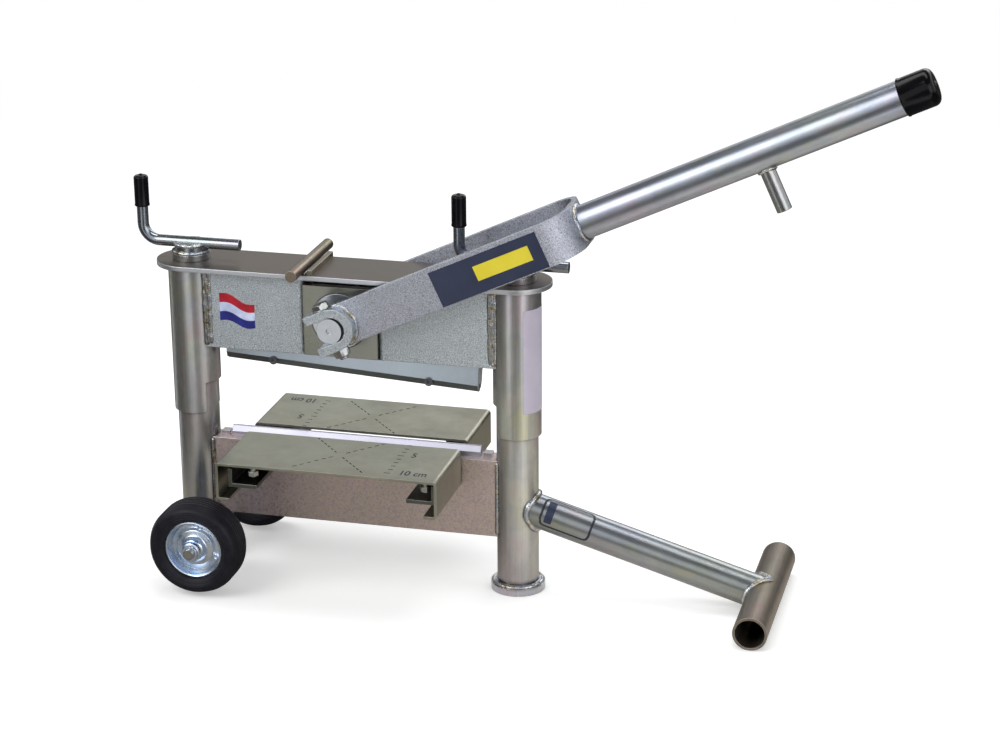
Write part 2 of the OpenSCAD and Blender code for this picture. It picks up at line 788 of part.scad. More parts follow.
// a slot cut through the top of the table, from the middle of one end
module slot(length) translate([0, -mark_w / 2, table_under - 1]) cube([length, mark_w, sheet + 2]);

// the centimetre marks and the dashed cross
module table_slots() {
    for (i = [0:mark_count - 1]) {
        long = i == mark_count - 1 || i == mark_count - 6;
        translate([mark_x - (long ? 2 : 0), -mark_first - i * mark_pitch, 0]) slot(mark_l + (long ? 2 : 0));
    }
    for (arm = [cross_turn, 180 - cross_turn, 180 + cross_turn, -cross_turn])
        translate([0, -cross_y, 0]) rotate([0, 0, arm])
            for (i = [0:dash_count - 1]) translate([dash_first + i * dash_pitch, 0, 0]) slot(dash_l);
}

// a folded sheet: top face, two side walls and the flanges folded in below them
module table() color("darkkhaki") difference() {
    half = table_length / 2;
    foot = table_top - table_wall_h;
    union() {
        block([bend_r - half, -table_outer, table_under], [half - bend_r, -table_inner, table_top]);
        for (s = [-1, 1]) scale([s, 1, 1]) {
            sheet_bend(half - bend_r, table_top - bend_r, true);
            block([half - sheet, -table_outer, foot + bend_r], [half, -table_inner, table_top - bend_r]);
            sheet_bend(half - bend_r, foot + bend_r, false);
            block([half - table_flange, -table_outer, foot], [half - bend_r, -table_inner, foot + sheet]);
        }
    }
    table_slots();
}

// stop studs welded under a table, each with its nut; both tables have them over the same brackets
module studs() color("silver") for (x = [stud_left, stud_right]) translate([mid_x + x, stud_y, table_under]) {
    translate([0, 0, -stud_l]) cylinder(d = stud_d, h = stud_l - eps);
    translate([0, 0, stud_end - stud_l]) cylinder(r = small_hex_r, h = small_nut_h, $fn = 6);
}

module front_table() translate([mid_x, 0, 0]) table();

module front_studs() scale([1, -1, 1]) studs();

module back_table() translate([mid_x, 0, 0]) rotate([0, 0, 180]) table();

module back_studs() studs();

left_column();
right_column();
feet();
lower_beam();
lower_blade();
end_stops();
strut_tube();
cross_tube();
axle();
axle_caps();
table_brackets();
front_buffers();
back_buffers();
buffer_nuts();
spindle_nuts();
top_plate();
left_sleeve();
right_sleeve();
left_front_plate();
left_back_plate();
right_front_plate();
right_back_plate();
front_bearing_plate();
back_bearing_plate();
stop_bar();
stop_rib();
left_crank();
left_grip();
left_collar();
left_spindle();
left_retainer();
right_crank();
right_grip();
right_collar();
right_spindle();
right_retainer();
fork();
fork_yokes();
yoke_bolts();
yoke_nuts();
lever_tube();
lever_cap();
rest_peg();
eccentric_shaft();
press_yoke();
pivot_pin();
blade_holder();
blade_insert();
blade_screws();
front_tyre();
front_rim();
front_bush();
back_tyre();
back_rim();
back_bush();
front_table();
front_studs();
back_table();
back_studs();
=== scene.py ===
# Looks of the paving block splitter: finishes, weld beads, wheels, grips, labels, camera and studio.
from math import atan2, cos, pi, radians, sin, sqrt, tau

import bpy
from mathutils import Matrix, Vector, noise

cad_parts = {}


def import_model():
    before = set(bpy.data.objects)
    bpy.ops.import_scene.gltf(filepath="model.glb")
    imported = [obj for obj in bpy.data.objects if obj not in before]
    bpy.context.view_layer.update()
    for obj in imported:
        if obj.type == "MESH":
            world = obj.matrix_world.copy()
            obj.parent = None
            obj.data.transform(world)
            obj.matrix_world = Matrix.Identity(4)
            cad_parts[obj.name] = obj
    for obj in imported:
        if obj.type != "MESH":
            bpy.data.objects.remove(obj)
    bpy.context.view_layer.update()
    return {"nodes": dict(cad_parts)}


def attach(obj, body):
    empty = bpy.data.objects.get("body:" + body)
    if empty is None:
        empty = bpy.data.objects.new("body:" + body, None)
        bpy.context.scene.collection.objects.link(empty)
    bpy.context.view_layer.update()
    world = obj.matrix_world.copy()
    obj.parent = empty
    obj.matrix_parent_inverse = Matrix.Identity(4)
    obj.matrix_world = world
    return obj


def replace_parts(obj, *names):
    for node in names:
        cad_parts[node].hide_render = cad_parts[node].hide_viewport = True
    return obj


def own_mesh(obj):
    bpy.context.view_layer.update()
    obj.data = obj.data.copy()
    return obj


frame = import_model()
nodes = frame["nodes"]

# Places and sizes, in millimetres, in the CAD frame
# R is a radius, T a thickness, W a width, and U a distance from the shaft along the lever
MM = 0.001
LEFT_X = -356.0
MID_X = -178.0
RIGHT_X = 0.0
COLUMN_R = 22.25
SLEEVE_R = 25.5
FOOT_T = 8.0
BEAM_HALF = 12.5
BEAM_BOTTOM = 60.5
BEAM_TOP = 146.5
UPPER_BOTTOM = 251.3
UPPER_HALF = 18.0
TOP_UNDER = 339.0
TOP_Z = 344.0
BAR_R = 18.0
STRUT_Z = 96.0
CROSS_X = 266.0
STRUT_DROP = atan2(STRUT_Z - BAR_R, CROSS_X)
AXLE_X = -327.7
AXLE_Z = 54.45
WHEEL_Y = 114.0
TYRE_R = 50.5
TYRE_W = 42.0
RIM_R = 31.45
HUB_R = 8.52
EYELET_R = 24.0
SHAFT_X = -186.0
SHAFT_Z = 292.5
LEVER_ANGLE = radians(24.73)
FORK_W = 96.0
FORK_LENGTH = 280.0
LEVER_END = 663.0
PEG_U = 478.0
YOKE_U = 4.0
YOKE_HALF = 22.6
YOKE_MID = 50.0
TABLE_TOP = 157.0
BRACKET_Z = 129.0
BRACKET_SPANS = ((-284.0, -257.0), (-90.5, -65.5))
BUFFER_X = (-270.5, -77.0)
BUFFER_Y = 30.0
STOP_X = -224.0
STOP_WELDS = ((-33.0, -12.0), (10.0, 33.0))
CRANK_Z = 361.0
GRIP_X = {"left": LEFT_X - 53.0, "right": RIGHT_X - 61.0}
GRIP_Z = 398.0
BOSS_R = 17.5


def shift(x, y, z):
    """A move as a matrix."""
    return Matrix.Translation((x, y, z))


def spin(degrees, axis):
    """A turn about an axis as a matrix."""
    return Matrix.Rotation(radians(degrees), 4, axis)


LEVER = shift(SHAFT_X, 0, SHAFT_Z) @ Matrix.Rotation(-LEVER_ANGLE, 4, "Y")
STRUT = shift(0, 0, STRUT_Z) @ Matrix.Rotation(STRUT_DROP, 4, "Y")


# Materials

OLIVE = (0.97, 0.96, 0.79)
PINK = (1.0, 0.87, 0.91)
WHITE = (1.0, 1.0, 1.0)


class Shader:
    """A material's node tree with short calls for the nodes used here."""

    def __init__(self, name, metallic=1.0, specular=0.5):
        self.material = bpy.data.materials.new(name)
        self.material.use_nodes = True
        self.tree = self.material.node_tree
        self.principled = self.tree.nodes["Principled BSDF"]
        self.set(Metallic=metallic, Specular_IOR_Level=specular)

    def add(self, kind, **values):
        node = self.tree.nodes.new(kind)
        for key, value in values.items():
            setattr(node, key, value)
        return node

    def link(self, source, target):
        self.tree.links.new(source, target)

    def fill(self, node, **values):
        """Set a node's inputs by name, with underscores for spaces."""
        for key, value in values.items():
            node.inputs[key.replace("_", " ")].default_value = value

    def set(self, **values):
        self.fill(self.principled, **values)

    def place(self, turn=(0, 0, 0), stretch=(1, 1, 1)):
        """Object coordinates, turned so that X runs along the piece, then stretched."""
        coord = self.add("ShaderNodeTexCoord")
        mapping = self.add("ShaderNodeMapping", vector_type="TEXTURE")
        self.fill(mapping, Rotation=turn)
        self.link(coord.outputs["Object"], mapping.inputs["Vector"])
        scale = self.add("ShaderNodeVectorMath", operation="MULTIPLY")
        scale.inputs[1].default_value = stretch
        self.link(mapping.outputs["Vector"], scale.inputs[0])
        return scale.outputs["Vector"]

    def noise(self, vector, scale, detail=3.0, roughness=0.55):
        texture = self.add("ShaderNodeTexNoise")
        self.fill(texture, Scale=scale, Detail=detail, Roughness=roughness)
        self.link(vector, texture.inputs["Vector"])
        return texture.outputs["Fac"]

    def ramp(self, value, stops):
        ramp = self.add("ShaderNodeValToRGB")
        elements = ramp.color_ramp.elements
        while len(elements) < len(stops):
            elements.new(0.5)
        for element, (position, colour) in zip(elements, stops):
            element.position = position
            element.color = (*colour, 1.0)
        self.link(value, ramp.inputs["Fac"])
        return ramp.outputs["Color"]

    def mix(self, factor, first, second, blend="MIX"):
        node = self.add("ShaderNodeMix", data_type="RGBA", blend_type=blend)
        for name, value in (("Factor", factor), ("A", first), ("B", second)):
            socket = node.inputs[name]
            if hasattr(value, "is_linked"):
                self.link(value, socket)
            elif isinstance(value, tuple):
                socket.default_value = (*value, 1.0)
            else:
                socket.default_value = value
        return node.outputs["Result"]

    def span(self, value, low, high, start=0.0, end=1.0):
        node = self.add("ShaderNodeMapRange")
        self.fill(node, From_Min=start, From_Max=end, To_Min=low, To_Max=high)
        self.link(value, node.inputs["Value"])
        return node.outputs["Result"]

    def edges(self, radius):
        """Rounded normals along sharp edges, and a factor for painting highlights on those edges."""
        bevel = self.add("ShaderNodeBevel", samples=6)
        self.fill(bevel, Radius=radius)
        geometry = self.add("ShaderNodeNewGeometry")
        dot = self.add("ShaderNodeVectorMath", operation="DOT_PRODUCT")
        self.link(bevel.outputs["Normal"], dot.inputs[0])
        self.link(geometry.outputs["Normal"], dot.inputs[1])
        # 1 on rounded edges and 0 on flat faces: mixed into a colour, it paints a highlight along the edges.
        highlight_mask = self.span(dot.outputs["Value"], 1.0, 0.0, 0.72, 0.985)
        return bevel.outputs["Normal"], highlight_mask

    def bump(self, height, strength, distance, normal=None):
        node = self.add("ShaderNodeBump")
        self.fill(node, Strength=strength, Distance=distance)
        self.link(height, node.inputs["Height"])
        if normal is not None:
            self.link(normal, node.inputs["Normal"])
        return node.outputs["Normal"]

    def finish(self, colour=None, roughness=None, normal=None):
        for name, value in (("Base Color", colour), ("Roughness", roughness), ("Normal", normal)):
            if value is not None:
                self.link(value, self.principled.inputs[name])
        return self.material


def drawn_zinc(name, light, dark, rough, turn=(0, 0, 0), joint=0.0, fine=900, edge=0.0008):
    """Smooth zinc-plated tube or bar: fine lines along X of the turned frame, blotches and slow colour drift.

    Places nearer to another surface than the given distance get painted shade. Fine sets how close the lines
    lie, and edge the radius of the edges, which take a painted highlight.
    """
    s = Shader(name)
    drift = s.noise(s.place(turn, (7, 16, 16)), 1.0, 2.0)
    blotch = s.noise(s.place(turn, (24, 38, 38)), 1.0, 4.0, 0.6)
    lines = s.noise(s.place(turn, (9, fine, fine)), 1.0, 4.0, 0.6)
    nicks = s.noise(s.place(turn, (420, 70, 70)), 1.0, 4.0, 0.75)
    spots = s.noise(s.place(), 60.0, 5.0, 0.65)
    base = s.ramp(lines, ((0.225, dark), (0.775, light)))
    drifts = s.ramp(drift, ((0.34, OLIVE), (0.5, (0.92, 0.92, 0.92)), (0.66, PINK)))
    blotches = s.ramp(blotch, ((0.34, PINK), (0.46, WHITE), (0.55, (0.84, 0.87, 0.92)), (0.66, OLIVE)))
    tinted = s.mix(0.75, s.mix(0.75, base, drifts, "MULTIPLY"), blotches, "MULTIPLY")
    worn = s.mix(s.span(spots, 0.0, 0.3, 0.52, 0.75), tinted, dark)
    colour = s.mix(s.span(nicks, 0.0, 0.4, 0.66, 0.8), worn, (0.75, 0.76, 0.78))
    normal = None
    # Edges get a painted highlight.
    if edge:
        normal, highlight_mask = s.edges(edge)
        colour = s.mix(s.span(highlight_mask, 0.0, 0.8), colour, (0.74, 0.75, 0.76))
    if joint:
        # Painted shade: the colour goes nearly black where another surface is near, as below the sleeves.
        near = s.add("ShaderNodeAmbientOcclusion", samples=8)
        s.fill(near, Distance=joint)
        colour = s.mix(s.span(near.outputs["AO"], 0.85, 0.0, 0.5, 0.92), colour, (0.03, 0.03, 0.032))
    roughness = s.span(s.noise(s.place(turn, (30, 300, 300)), 1.0, 3.0), rough - 0.05, rough + 0.08)
    return s.finish(colour, roughness, normal)


def turned_metal(name, light, dark, centre, rough):
    """Steel turned on a lathe about an axis along Y: fine rings on the faces, soft clouds elsewhere."""
    s = Shader(name)
    coord = s.add("ShaderNodeTexCoord")
    middle = s.add("ShaderNodeVectorMath", operation="SUBTRACT")
    middle.inputs[1].default_value = Vector(centre) * MM
    s.link(coord.outputs["Object"], middle.inputs[0])
    rings = s.add("ShaderNodeTexWave", wave_type="RINGS", rings_direction="Y")
    s.fill(rings, Scale=260.0, Distortion=1.5, Detail_Scale=60.0)
    s.link(middle.outputs["Vector"], rings.inputs["Vector"])
    cloud = s.noise(s.place(), 55.0, 4.0)
    ringed = s.ramp(rings.outputs["Fac"], ((0.1, dark), (0.9, light)))
    base = s.mix(0.35, s.ramp(cloud, ((0.34, dark), (0.66, light))), ringed)
    # Painted highlight along the edges.
    normal, highlight_mask = s.edges(0.0006)
    colour = s.mix(s.span(highlight_mask, 0.0, 0.5), base, (0.62, 0.63, 0.64))
    turned = s.bump(rings.outputs["Fac"], 0.03, 0.0001, normal)
    return s.finish(colour, s.span(cloud, rough - 0.05, rough + 0.1), turned)


def blasted_zinc(name, light, dark, tint, rough):
    """Zinc over shot-blasted plate: a sparkling grain, faint clouds and a painted highlight along the edges.
    """
    grain, depth, edge = 1100.0, 0.85, 0.0011
    s = Shader(name)
    fine = s.noise(s.place(), grain, 1.0, 0.5)
    coarse = s.noise(s.place(), grain * 0.4, 2.0, 0.6)
    cloud = s.noise(s.place(), 14.0, 4.0)
    fine_speck = s.ramp(fine, ((0.33, dark), (0.67, light)))
    speck = s.mix(0.18, fine_speck, s.ramp(coarse, ((0.36, dark), (0.64, light))))
    tinted = s.mix(0.7, speck, s.ramp(cloud, ((0.36, (0.97, 0.97, 0.97)), (0.64, tint))), "MULTIPLY")
    # Painted highlight along the edges.
    normal, highlight_mask = s.edges(edge)
    colour = s.mix(s.span(highlight_mask, 0.0, 0.65), tinted, (0.62, 0.63, 0.65))
    roughness = s.span(coarse, rough - 0.1, rough + 0.12, 0.3, 0.7)
    pitted = s.bump(coarse, depth * 0.4, 0.0005, normal)
    return s.finish(colour, roughness, s.bump(fine, depth, 0.0007, pitted))


def mottled_zinc(name, ground, vein, rough):
    """Zinc over a rolled bar: a pinkish ground under a net of olive veins."""
    s = Shader(name)
    net = s.noise(s.place(), 340.0, 2.0, 0.6)
    fine = s.noise(s.place(), 1100.0, 2.0, 0.6)
    cloud = s.noise(s.place(), 12.0, 4.0)
    shade = tuple(0.86 * c for c in ground)
    veined = s.ramp(net, ((0.40, shade), (0.47, ground), (0.53, vein), (0.60, ground)))
    grained = s.mix(0.3, veined, s.ramp(fine, ((0.38, shade), (0.62, ground))))
    clouds = s.ramp(cloud, ((0.36, (1.0, 0.96, 0.98)), (0.64, (0.88, 0.92, 0.86))))
    clouded = s.mix(0.7, grained, clouds, "MULTIPLY")
    # Painted highlight along the edges.
    normal, highlight_mask = s.edges(0.0012)
    colour = s.mix(s.span(highlight_mask, 0.0, 0.6), clouded, (0.62, 0.62, 0.66))
    roughness = s.span(net, rough - 0.08, rough + 0.1, 0.3, 0.7)
    return s.finish(colour, roughness, s.bump(fine, 0.15, 0.0002, normal))


def satin_zinc(name, light, dark, tint, rough, edge=0.0008, edge_highlight_colour=(0.58, 0.59, 0.58), slots=0.0,
               upright=None, under=None):
    """Rolled zinc-plated sheet: fine brushing, soft blotches and small scuffs.

    Upright surfaces may take a painted highlight colour and down-facing ones a painted shade colour,
    narrow slots may be darkened inside with painted shade, and the edges take a painted highlight.
    """
    s = Shader(name)
    brush = s.noise(s.place(stretch=(25, 700, 700)), 1.0, 3.0, 0.6)
    blotch = s.noise(s.place(), 22.0, 5.0, 0.62)
    scuff = s.noise(s.place(stretch=(60, 900, 60)), 1.0, 5.0, 0.75)
    broad = s.noise(s.place(), 8.0, 2.0)
    base = s.ramp(blotch, ((0.34, dark), (0.66, light)))
    tinted = s.mix(0.6, base, s.ramp(broad, ((0.38, (0.98, 0.98, 0.98)), (0.62, tint))), "MULTIPLY")
    colour = s.mix(s.span(scuff, 0.0, 0.3, 0.6, 0.8), tinted, light)
    if upright or under:
        facing = s.add("ShaderNodeSeparateXYZ")
        s.link(s.add("ShaderNodeTexCoord").outputs["Normal"], facing.inputs["Vector"])
    # Painted highlight: upright faces take the upright colour.
    if upright:
        steep = s.add("ShaderNodeMath", operation="ABSOLUTE")
        s.link(facing.outputs["Z"], steep.inputs[0])
        colour = s.mix(s.span(steep.outputs[0], 1.0, 0.0, 0.3, 0.7), colour, upright)
    # Painted shade: down-facing faces take the under colour.
    if under:
        colour = s.mix(s.span(facing.outputs["Z"], 1.0, 0.0, -0.35, -0.15), colour, under)
    # Painted highlight along the edges.
    normal, highlight_mask = s.edges(edge)
    colour = s.mix(s.span(highlight_mask, 0.0, 0.6), colour, edge_highlight_colour)
    # Painted shade: the colour goes nearly black inside narrow slots.
    if slots:
        slot_shade = s.add("ShaderNodeAmbientOcclusion", samples=8)
        s.fill(slot_shade, Distance=slots)
        colour = s.mix(s.span(slot_shade.outputs["AO"], 1.0, 0.0, 0.55, 0.9), colour, (0.012, 0.012, 0.014))
    roughness = s.span(blotch, rough - 0.06, rough + 0.1, 0.3, 0.7)
    return s.finish(colour, roughness, s.bump(brush, 0.03, 0.0002, normal))


def dark_metal(name, light, dark, rough):
    """Hardened or oiled steel with a fine ground texture."""
    s = Shader(name)
    ground = s.noise(s.place((0, 0, 0), (60, 900, 900)), 1.0, 4.0)
    cloud = s.noise(s.place(), 45.0, 4.0)
    normal, highlight_mask = s.edges(0.0005)
    stops = ((0.35, dark), (0.65, light))
    base = s.mix(0.5, s.ramp(ground, stops), s.ramp(cloud, stops))
    # Painted highlight along the edges.
    colour = s.mix(s.span(highlight_mask, 0.0, 0.6), base, (0.55, 0.55, 0.56))
    return s.finish(colour, s.span(cloud, rough - 0.05, rough + 0.12), s.bump(ground, 0.15, 0.0002, normal))


def weld_metal(name, level, patch):
    """Weld bead: silver with straw and blue heat tints.

    Level sets the brightness, and patch how close the tints lie.
    """
    s = Shader(name)
    heat = s.noise(s.place(), patch, 3.0)
    fine = s.noise(s.place(), 480.0, 4.0, 0.65)
    brown, straw, silver = (0.18, 0.16, 0.12), (0.38, 0.35, 0.27), (0.54, 0.54, 0.53)
    blue, grey = (0.31, 0.34, 0.41), (0.46, 0.45, 0.43)
    tints = (brown, straw, silver, blue, grey)
    stops = [(0.3 + 0.1 * i, tuple(level * c for c in tint)) for i, tint in enumerate(tints)]
    return s.finish(s.ramp(heat, stops), s.span(fine, 0.16, 0.42), s.bump(fine, 0.7, 0.0005))


def bright_zinc(name):
    """Blue-white plated pressing."""
    s = Shader(name)
    cloud = s.noise(s.place(), 70.0, 4.0)
    fine = s.noise(s.place(), 900.0, 2.0)
    normal, highlight_mask = s.edges(0.0005)
    base = s.ramp(cloud, ((0.32, (0.52, 0.65, 0.84)), (0.5, (0.66, 0.76, 0.91)), (0.68, (0.80, 0.86, 0.95))))
    # Painted highlight along the edges and the rolled lip.
    colour = s.mix(s.span(highlight_mask, 0.0, 0.4), base, (0.86, 0.88, 0.9))
    return s.finish(colour, s.span(cloud, 0.2, 0.36), s.bump(fine, 0.04, 0.0002, normal))


def rubber(name, rough, dust):
    """Black moulded rubber with a dusty bloom in its pores."""
    s = Shader(name, 0.0, 0.22)
    cloud = s.noise(s.place(), 60.0, 5.0, 0.65)
    pores = s.noise(s.place(), 1100.0, 3.0)
    colour = s.ramp(cloud, ((0.35, (0.005, 0.005, 0.009)), (0.7, (dust, dust, dust * 1.6))))
    return s.finish(colour, s.span(cloud, rough - 0.08, rough + 0.12), s.bump(pores, 0.12, 0.0003))


def moulded(name, colour, other, rough):
    """Soft moulded plastic with a faint skin texture."""
    s = Shader(name, 0.0, 0.16)
    skin = s.noise(s.place(), 700.0, 3.0)
    cloud = s.noise(s.place(), 50.0, 3.0)
    return s.finish(s.ramp(cloud, ((0.3, colour), (0.7, other))), s.span(cloud, rough - 0.04, rough + 0.1),
                    s.bump(skin, 0.08, 0.0002))


def printed_film(name, colour, other, rough=0.38, patch=35.0):
    """Printed vinyl label with a satin film and a mottle between two colours, faint on most labels;
    on the stripes the two colours lie far apart as painted light and shade of folds.
    """
    s = Shader(name, 0.0, 0.3)
    s.set(Coat_Weight=0.1, Coat_Roughness=0.25)
    cloud = s.noise(s.place(), patch, 4.0)
    film = s.noise(s.place(), 420.0, 2.0)
    return s.finish(s.ramp(cloud, ((0.3, colour), (0.7, other))), s.span(cloud, rough - 0.05, rough + 0.08),
                    s.bump(film, 0.05, 0.0002))


UPRIGHT = (0, radians(90), 0)
ALONG_LEVER = (0, -LEVER_ANGLE, 0)
ALONG_STRUT = (0, STRUT_DROP, 0)
ALONG_Y = (0, 0, radians(90))

# The upright tubes take painted shade next to other surfaces.
tube_upright = drawn_zinc("zinc_upright_tube", (0.67, 0.685, 0.705), (0.52, 0.53, 0.545), 0.33, UPRIGHT,
                          joint=0.006)
# The lever's bluish base is partly painted: it stands in for the bluish light in its reflections.
tube_lever = drawn_zinc("zinc_lever_tube", (0.44, 0.48, 0.55), (0.37, 0.40, 0.46), 0.33, ALONG_LEVER,
                        fine=250, edge=0)
tube_strut = drawn_zinc("zinc_strut_tube", (0.38, 0.41, 0.45), (0.31, 0.33, 0.36), 0.32, ALONG_STRUT,
                        fine=250, edge=0)
tube_cross = drawn_zinc("zinc_cross_tube", (0.25, 0.225, 0.19), (0.17, 0.15, 0.125), 0.44, ALONG_Y)
rod_zinc = drawn_zinc("zinc_rod", (0.36, 0.40, 0.46), (0.27, 0.30, 0.35), 0.24)
stop_zinc = drawn_zinc("zinc_stop_bar", (0.26, 0.24, 0.18), (0.17, 0.155, 0.11), 0.36, ALONG_Y)
plate_zinc = blasted_zinc("zinc_blasted_plate", (0.86, 0.94, 1.0), (0.36, 0.40, 0.46), (0.93, 0.94, 0.93),
                          0.36)
fork_zinc = blasted_zinc("zinc_blasted_fork", (0.74, 0.78, 0.89), (0.28, 0.30, 0.35), (0.97, 0.94, 0.95),
                         0.34)
beam_zinc = mottled_zinc("zinc_lower_beam", (0.65, 0.54, 0.575), (0.80, 0.73, 0.56), 0.46)
# Top plate: a painted highlight on its edges and a brighter painted highlight colour on its upright faces.
top_zinc = satin_zinc("zinc_top_plate", (0.19, 0.17, 0.15), (0.12, 0.11, 0.098), (0.97, 0.90, 0.87), 0.42,
                      edge=0.0014, edge_highlight_colour=(0.72, 0.74, 0.77), upright=(0.60, 0.62, 0.66))
bearing_zinc = satin_zinc("zinc_bearing_plate", (0.34, 0.345, 0.31), (0.24, 0.245, 0.215), (0.92, 0.9, 0.84),
                          0.32)
# The tables take painted shade inside their slots.
table_zinc = satin_zinc("zinc_table", (0.42, 0.41, 0.34), (0.27, 0.26, 0.205), (0.90, 0.98, 1.0), 0.38,
                        edge=0.0006, slots=0.004)
bracket_zinc = satin_zinc("zinc_bracket", (0.15, 0.155, 0.14), (0.10, 0.105, 0.095), (0.93, 0.96, 0.95), 0.34)
blade_steel = satin_zinc("ground_lower_blade", (0.45, 0.45, 0.52), (0.37, 0.37, 0.43), (0.98, 0.96, 1.0),
                         0.38)
# Blade holder: a painted highlight on its edges and painted shade on its down-facing faces.
holder_steel = satin_zinc("ground_blade_holder", (0.62, 0.70, 0.79), (0.48, 0.55, 0.63), (0.93, 0.97, 0.98),
                          0.33, edge=0.0006, edge_highlight_colour=(0.8, 0.82, 0.85), under=(0.17, 0.185, 0.21))
turned_steel = turned_metal("turned_shaft", (0.60, 0.63, 0.67), (0.42, 0.44, 0.47), (SHAFT_X, 0, SHAFT_Z),
                            0.28)
turned_axle = turned_metal("turned_axle", (0.46, 0.48, 0.50), (0.30, 0.31, 0.32), (AXLE_X, 0, AXLE_Z), 0.24)
small_zinc = drawn_zinc("zinc_small_parts", (0.47, 0.49, 0.51), (0.34, 0.35, 0.36), 0.28, UPRIGHT)
insert_steel = dark_metal("hardened_insert", (0.16, 0.16, 0.18), (0.05, 0.05, 0.06), 0.32)
oiled_steel = dark_metal("oiled_steel", (0.24, 0.23, 0.22), (0.10, 0.10, 0.10), 0.38)
bright_weld = weld_metal("weld_bead", 1.15, 75.0)
dull_weld = weld_metal("weld_pocket", 0.86, 170.0)
rim_zinc = bright_zinc("bright_zinc_rim")
tyre_rubber = rubber("tyre_rubber", 0.46, 0.013)
buffer_rubber = rubber("buffer_rubber", 0.6, 0.014)
black_plastic = moulded("black_plastic", (0.003, 0.003, 0.004), (0.005, 0.005, 0.007), 0.16)
bush_plastic = moulded("bush_plastic", (0.02, 0.02, 0.022), (0.05, 0.05, 0.052), 0.45)
navy_film = printed_film("navy_film", (0.022, 0.030, 0.065), (0.030, 0.038, 0.078))
white_film = printed_film("white_film", (0.53, 0.48, 0.58), (0.60, 0.55, 0.65))
# The stripe films' far-apart colours paint the light and shade of the sticker's folds.
red_film = printed_film("red_film", (0.20, 0.003, 0.014), (0.54, 0.006, 0.020), patch=90.0)
pale_film = printed_film("pale_film", (0.34, 0.40, 0.58), (0.66, 0.72, 0.95), patch=90.0)
blue_film = printed_film("blue_film", (0.008, 0.011, 0.12), (0.018, 0.022, 0.25), patch=90.0)
yellow_film = printed_film("yellow_film", (0.72, 0.60, 0.03), (0.78, 0.66, 0.05))
ink = printed_film("dark_ink", (0.012, 0.014, 0.022), (0.03, 0.032, 0.045), 0.5)

NODE_FINISHES = {
    tube_upright: ("left_column", "right_column", "left_sleeve", "right_sleeve"),
    tube_lever: ("lever_tube",),
    tube_strut: ("strut_tube",),
    tube_cross: ("cross_tube",),
    rod_zinc: ("left_crank", "right_crank", "axle_caps"),
    turned_axle: ("axle",),
    stop_zinc: ("stop_bar", "stop_rib"),
    plate_zinc: ("left_front_plate", "left_back_plate", "right_front_plate", "right_back_plate",
                 "fork_yokes"),
    fork_zinc: ("fork",),
    beam_zinc: ("lower_beam",),
    top_zinc: ("top_plate",),
    bearing_zinc: ("front_bearing_plate", "back_bearing_plate"),
    table_zinc: ("front_table", "back_table"),
    bracket_zinc: ("table_brackets",),
    blade_steel: ("lower_blade",),
    holder_steel: ("blade_holder",),
    turned_steel: ("eccentric_shaft", "pivot_pin"),
    small_zinc: ("feet", "end_stops", "left_collar", "right_collar", "rest_peg", "buffer_nuts", "front_studs",
                 "back_studs", "yoke_bolts", "yoke_nuts"),
    insert_steel: ("blade_insert", "blade_screws"),
    oiled_steel: ("press_yoke", "left_spindle", "right_spindle", "left_retainer", "right_retainer",
                  "spindle_nuts"),
    rim_zinc: ("front_rim", "back_rim"),
    tyre_rubber: ("front_tyre", "back_tyre"),
    buffer_rubber: ("front_buffers", "back_buffers"),
    black_plastic: ("left_grip", "right_grip", "lever_cap"),
    bush_plastic: ("front_bush", "back_bush"),
}
for material, names in NODE_FINISHES.items():
    for name in names:
        mesh = nodes[name].data
        mesh.materials.clear()
        mesh.materials.append(material)


# Mesh helpers, in millimetres

def added(name, data):
    """A new object in the scene."""
    obj = bpy.data.objects.new(name, data)
    bpy.context.scene.collection.objects.link(obj)
    return obj


def piece(name, verts, faces, material, body, slot, sharp=35.0):
    """A mesh piece that rides on a body, smooth except across sharp edges."""
    mesh = bpy.data.meshes.new(name)
    mesh.from_pydata([Vector(v) * MM for v in verts], [], faces)
    mesh.update()
    mesh.polygons.foreach_set("use_smooth", [True] * len(mesh.polygons))
    mesh.set_sharp_from_angle(angle=radians(sharp))
    mesh.materials.append(material)
    obj = added(name, mesh)
    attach(obj, body)
    return obj


def lathe(profile, place, segments=72, ring=False):
    """Vertices and faces of a profile of (radius, height) turned about the place's Z axis."""
    verts, rows, faces = [], [], []
    for radius, height in profile:
        count = 1 if radius == 0 else segments
        rows.append((len(verts), count))
        for i in range(count):
            a = tau * i / segments
            verts.append(place @ Vector((radius * cos(a), radius * sin(a), height)))
    pairs = list(zip(rows, rows[1:]))
    if ring:
        pairs.append((rows[-1], rows[0]))
    for (a, count_a), (b, count_b) in pairs:
        for i in range(segments):
            j = (i + 1) % segments
            corners = [a + i % count_a, a + j % count_a, b + j % count_b, b + i % count_b]
            faces.append(tuple(dict.fromkeys(corners)))
    return verts, faces


def joined(*meshes):
    """Several (vertices, faces) lists as one."""
    verts, faces = [], []
    for more_verts, more_faces in meshes:
        start = len(verts)
        verts.extend(more_verts)
        faces.extend(tuple(i + start for i in face) for face in more_faces)
    return verts, faces


def resampled(points, step, closed):
    """Points at even steps along a path."""
    path = [Vector(p) for p in points]
    if closed:
        path.append(path[0])
    lengths = [(b - a).length for a, b in zip(path, path[1:])]
    total = sum(lengths)
    count = max(4, round(total / step))
    result, i, done = [], 0, 0.0
    for k in range(count if closed else count + 1):
        goal = total * k / count
        while i < len(lengths) - 1 and done + lengths[i] < goal:
            done += lengths[i]
            i += 1
        share = 0.0 if lengths[i] == 0 else min(1.0, (goal - done) / lengths[i])
        result.append(path[i].lerp(path[i + 1], share))
    return result


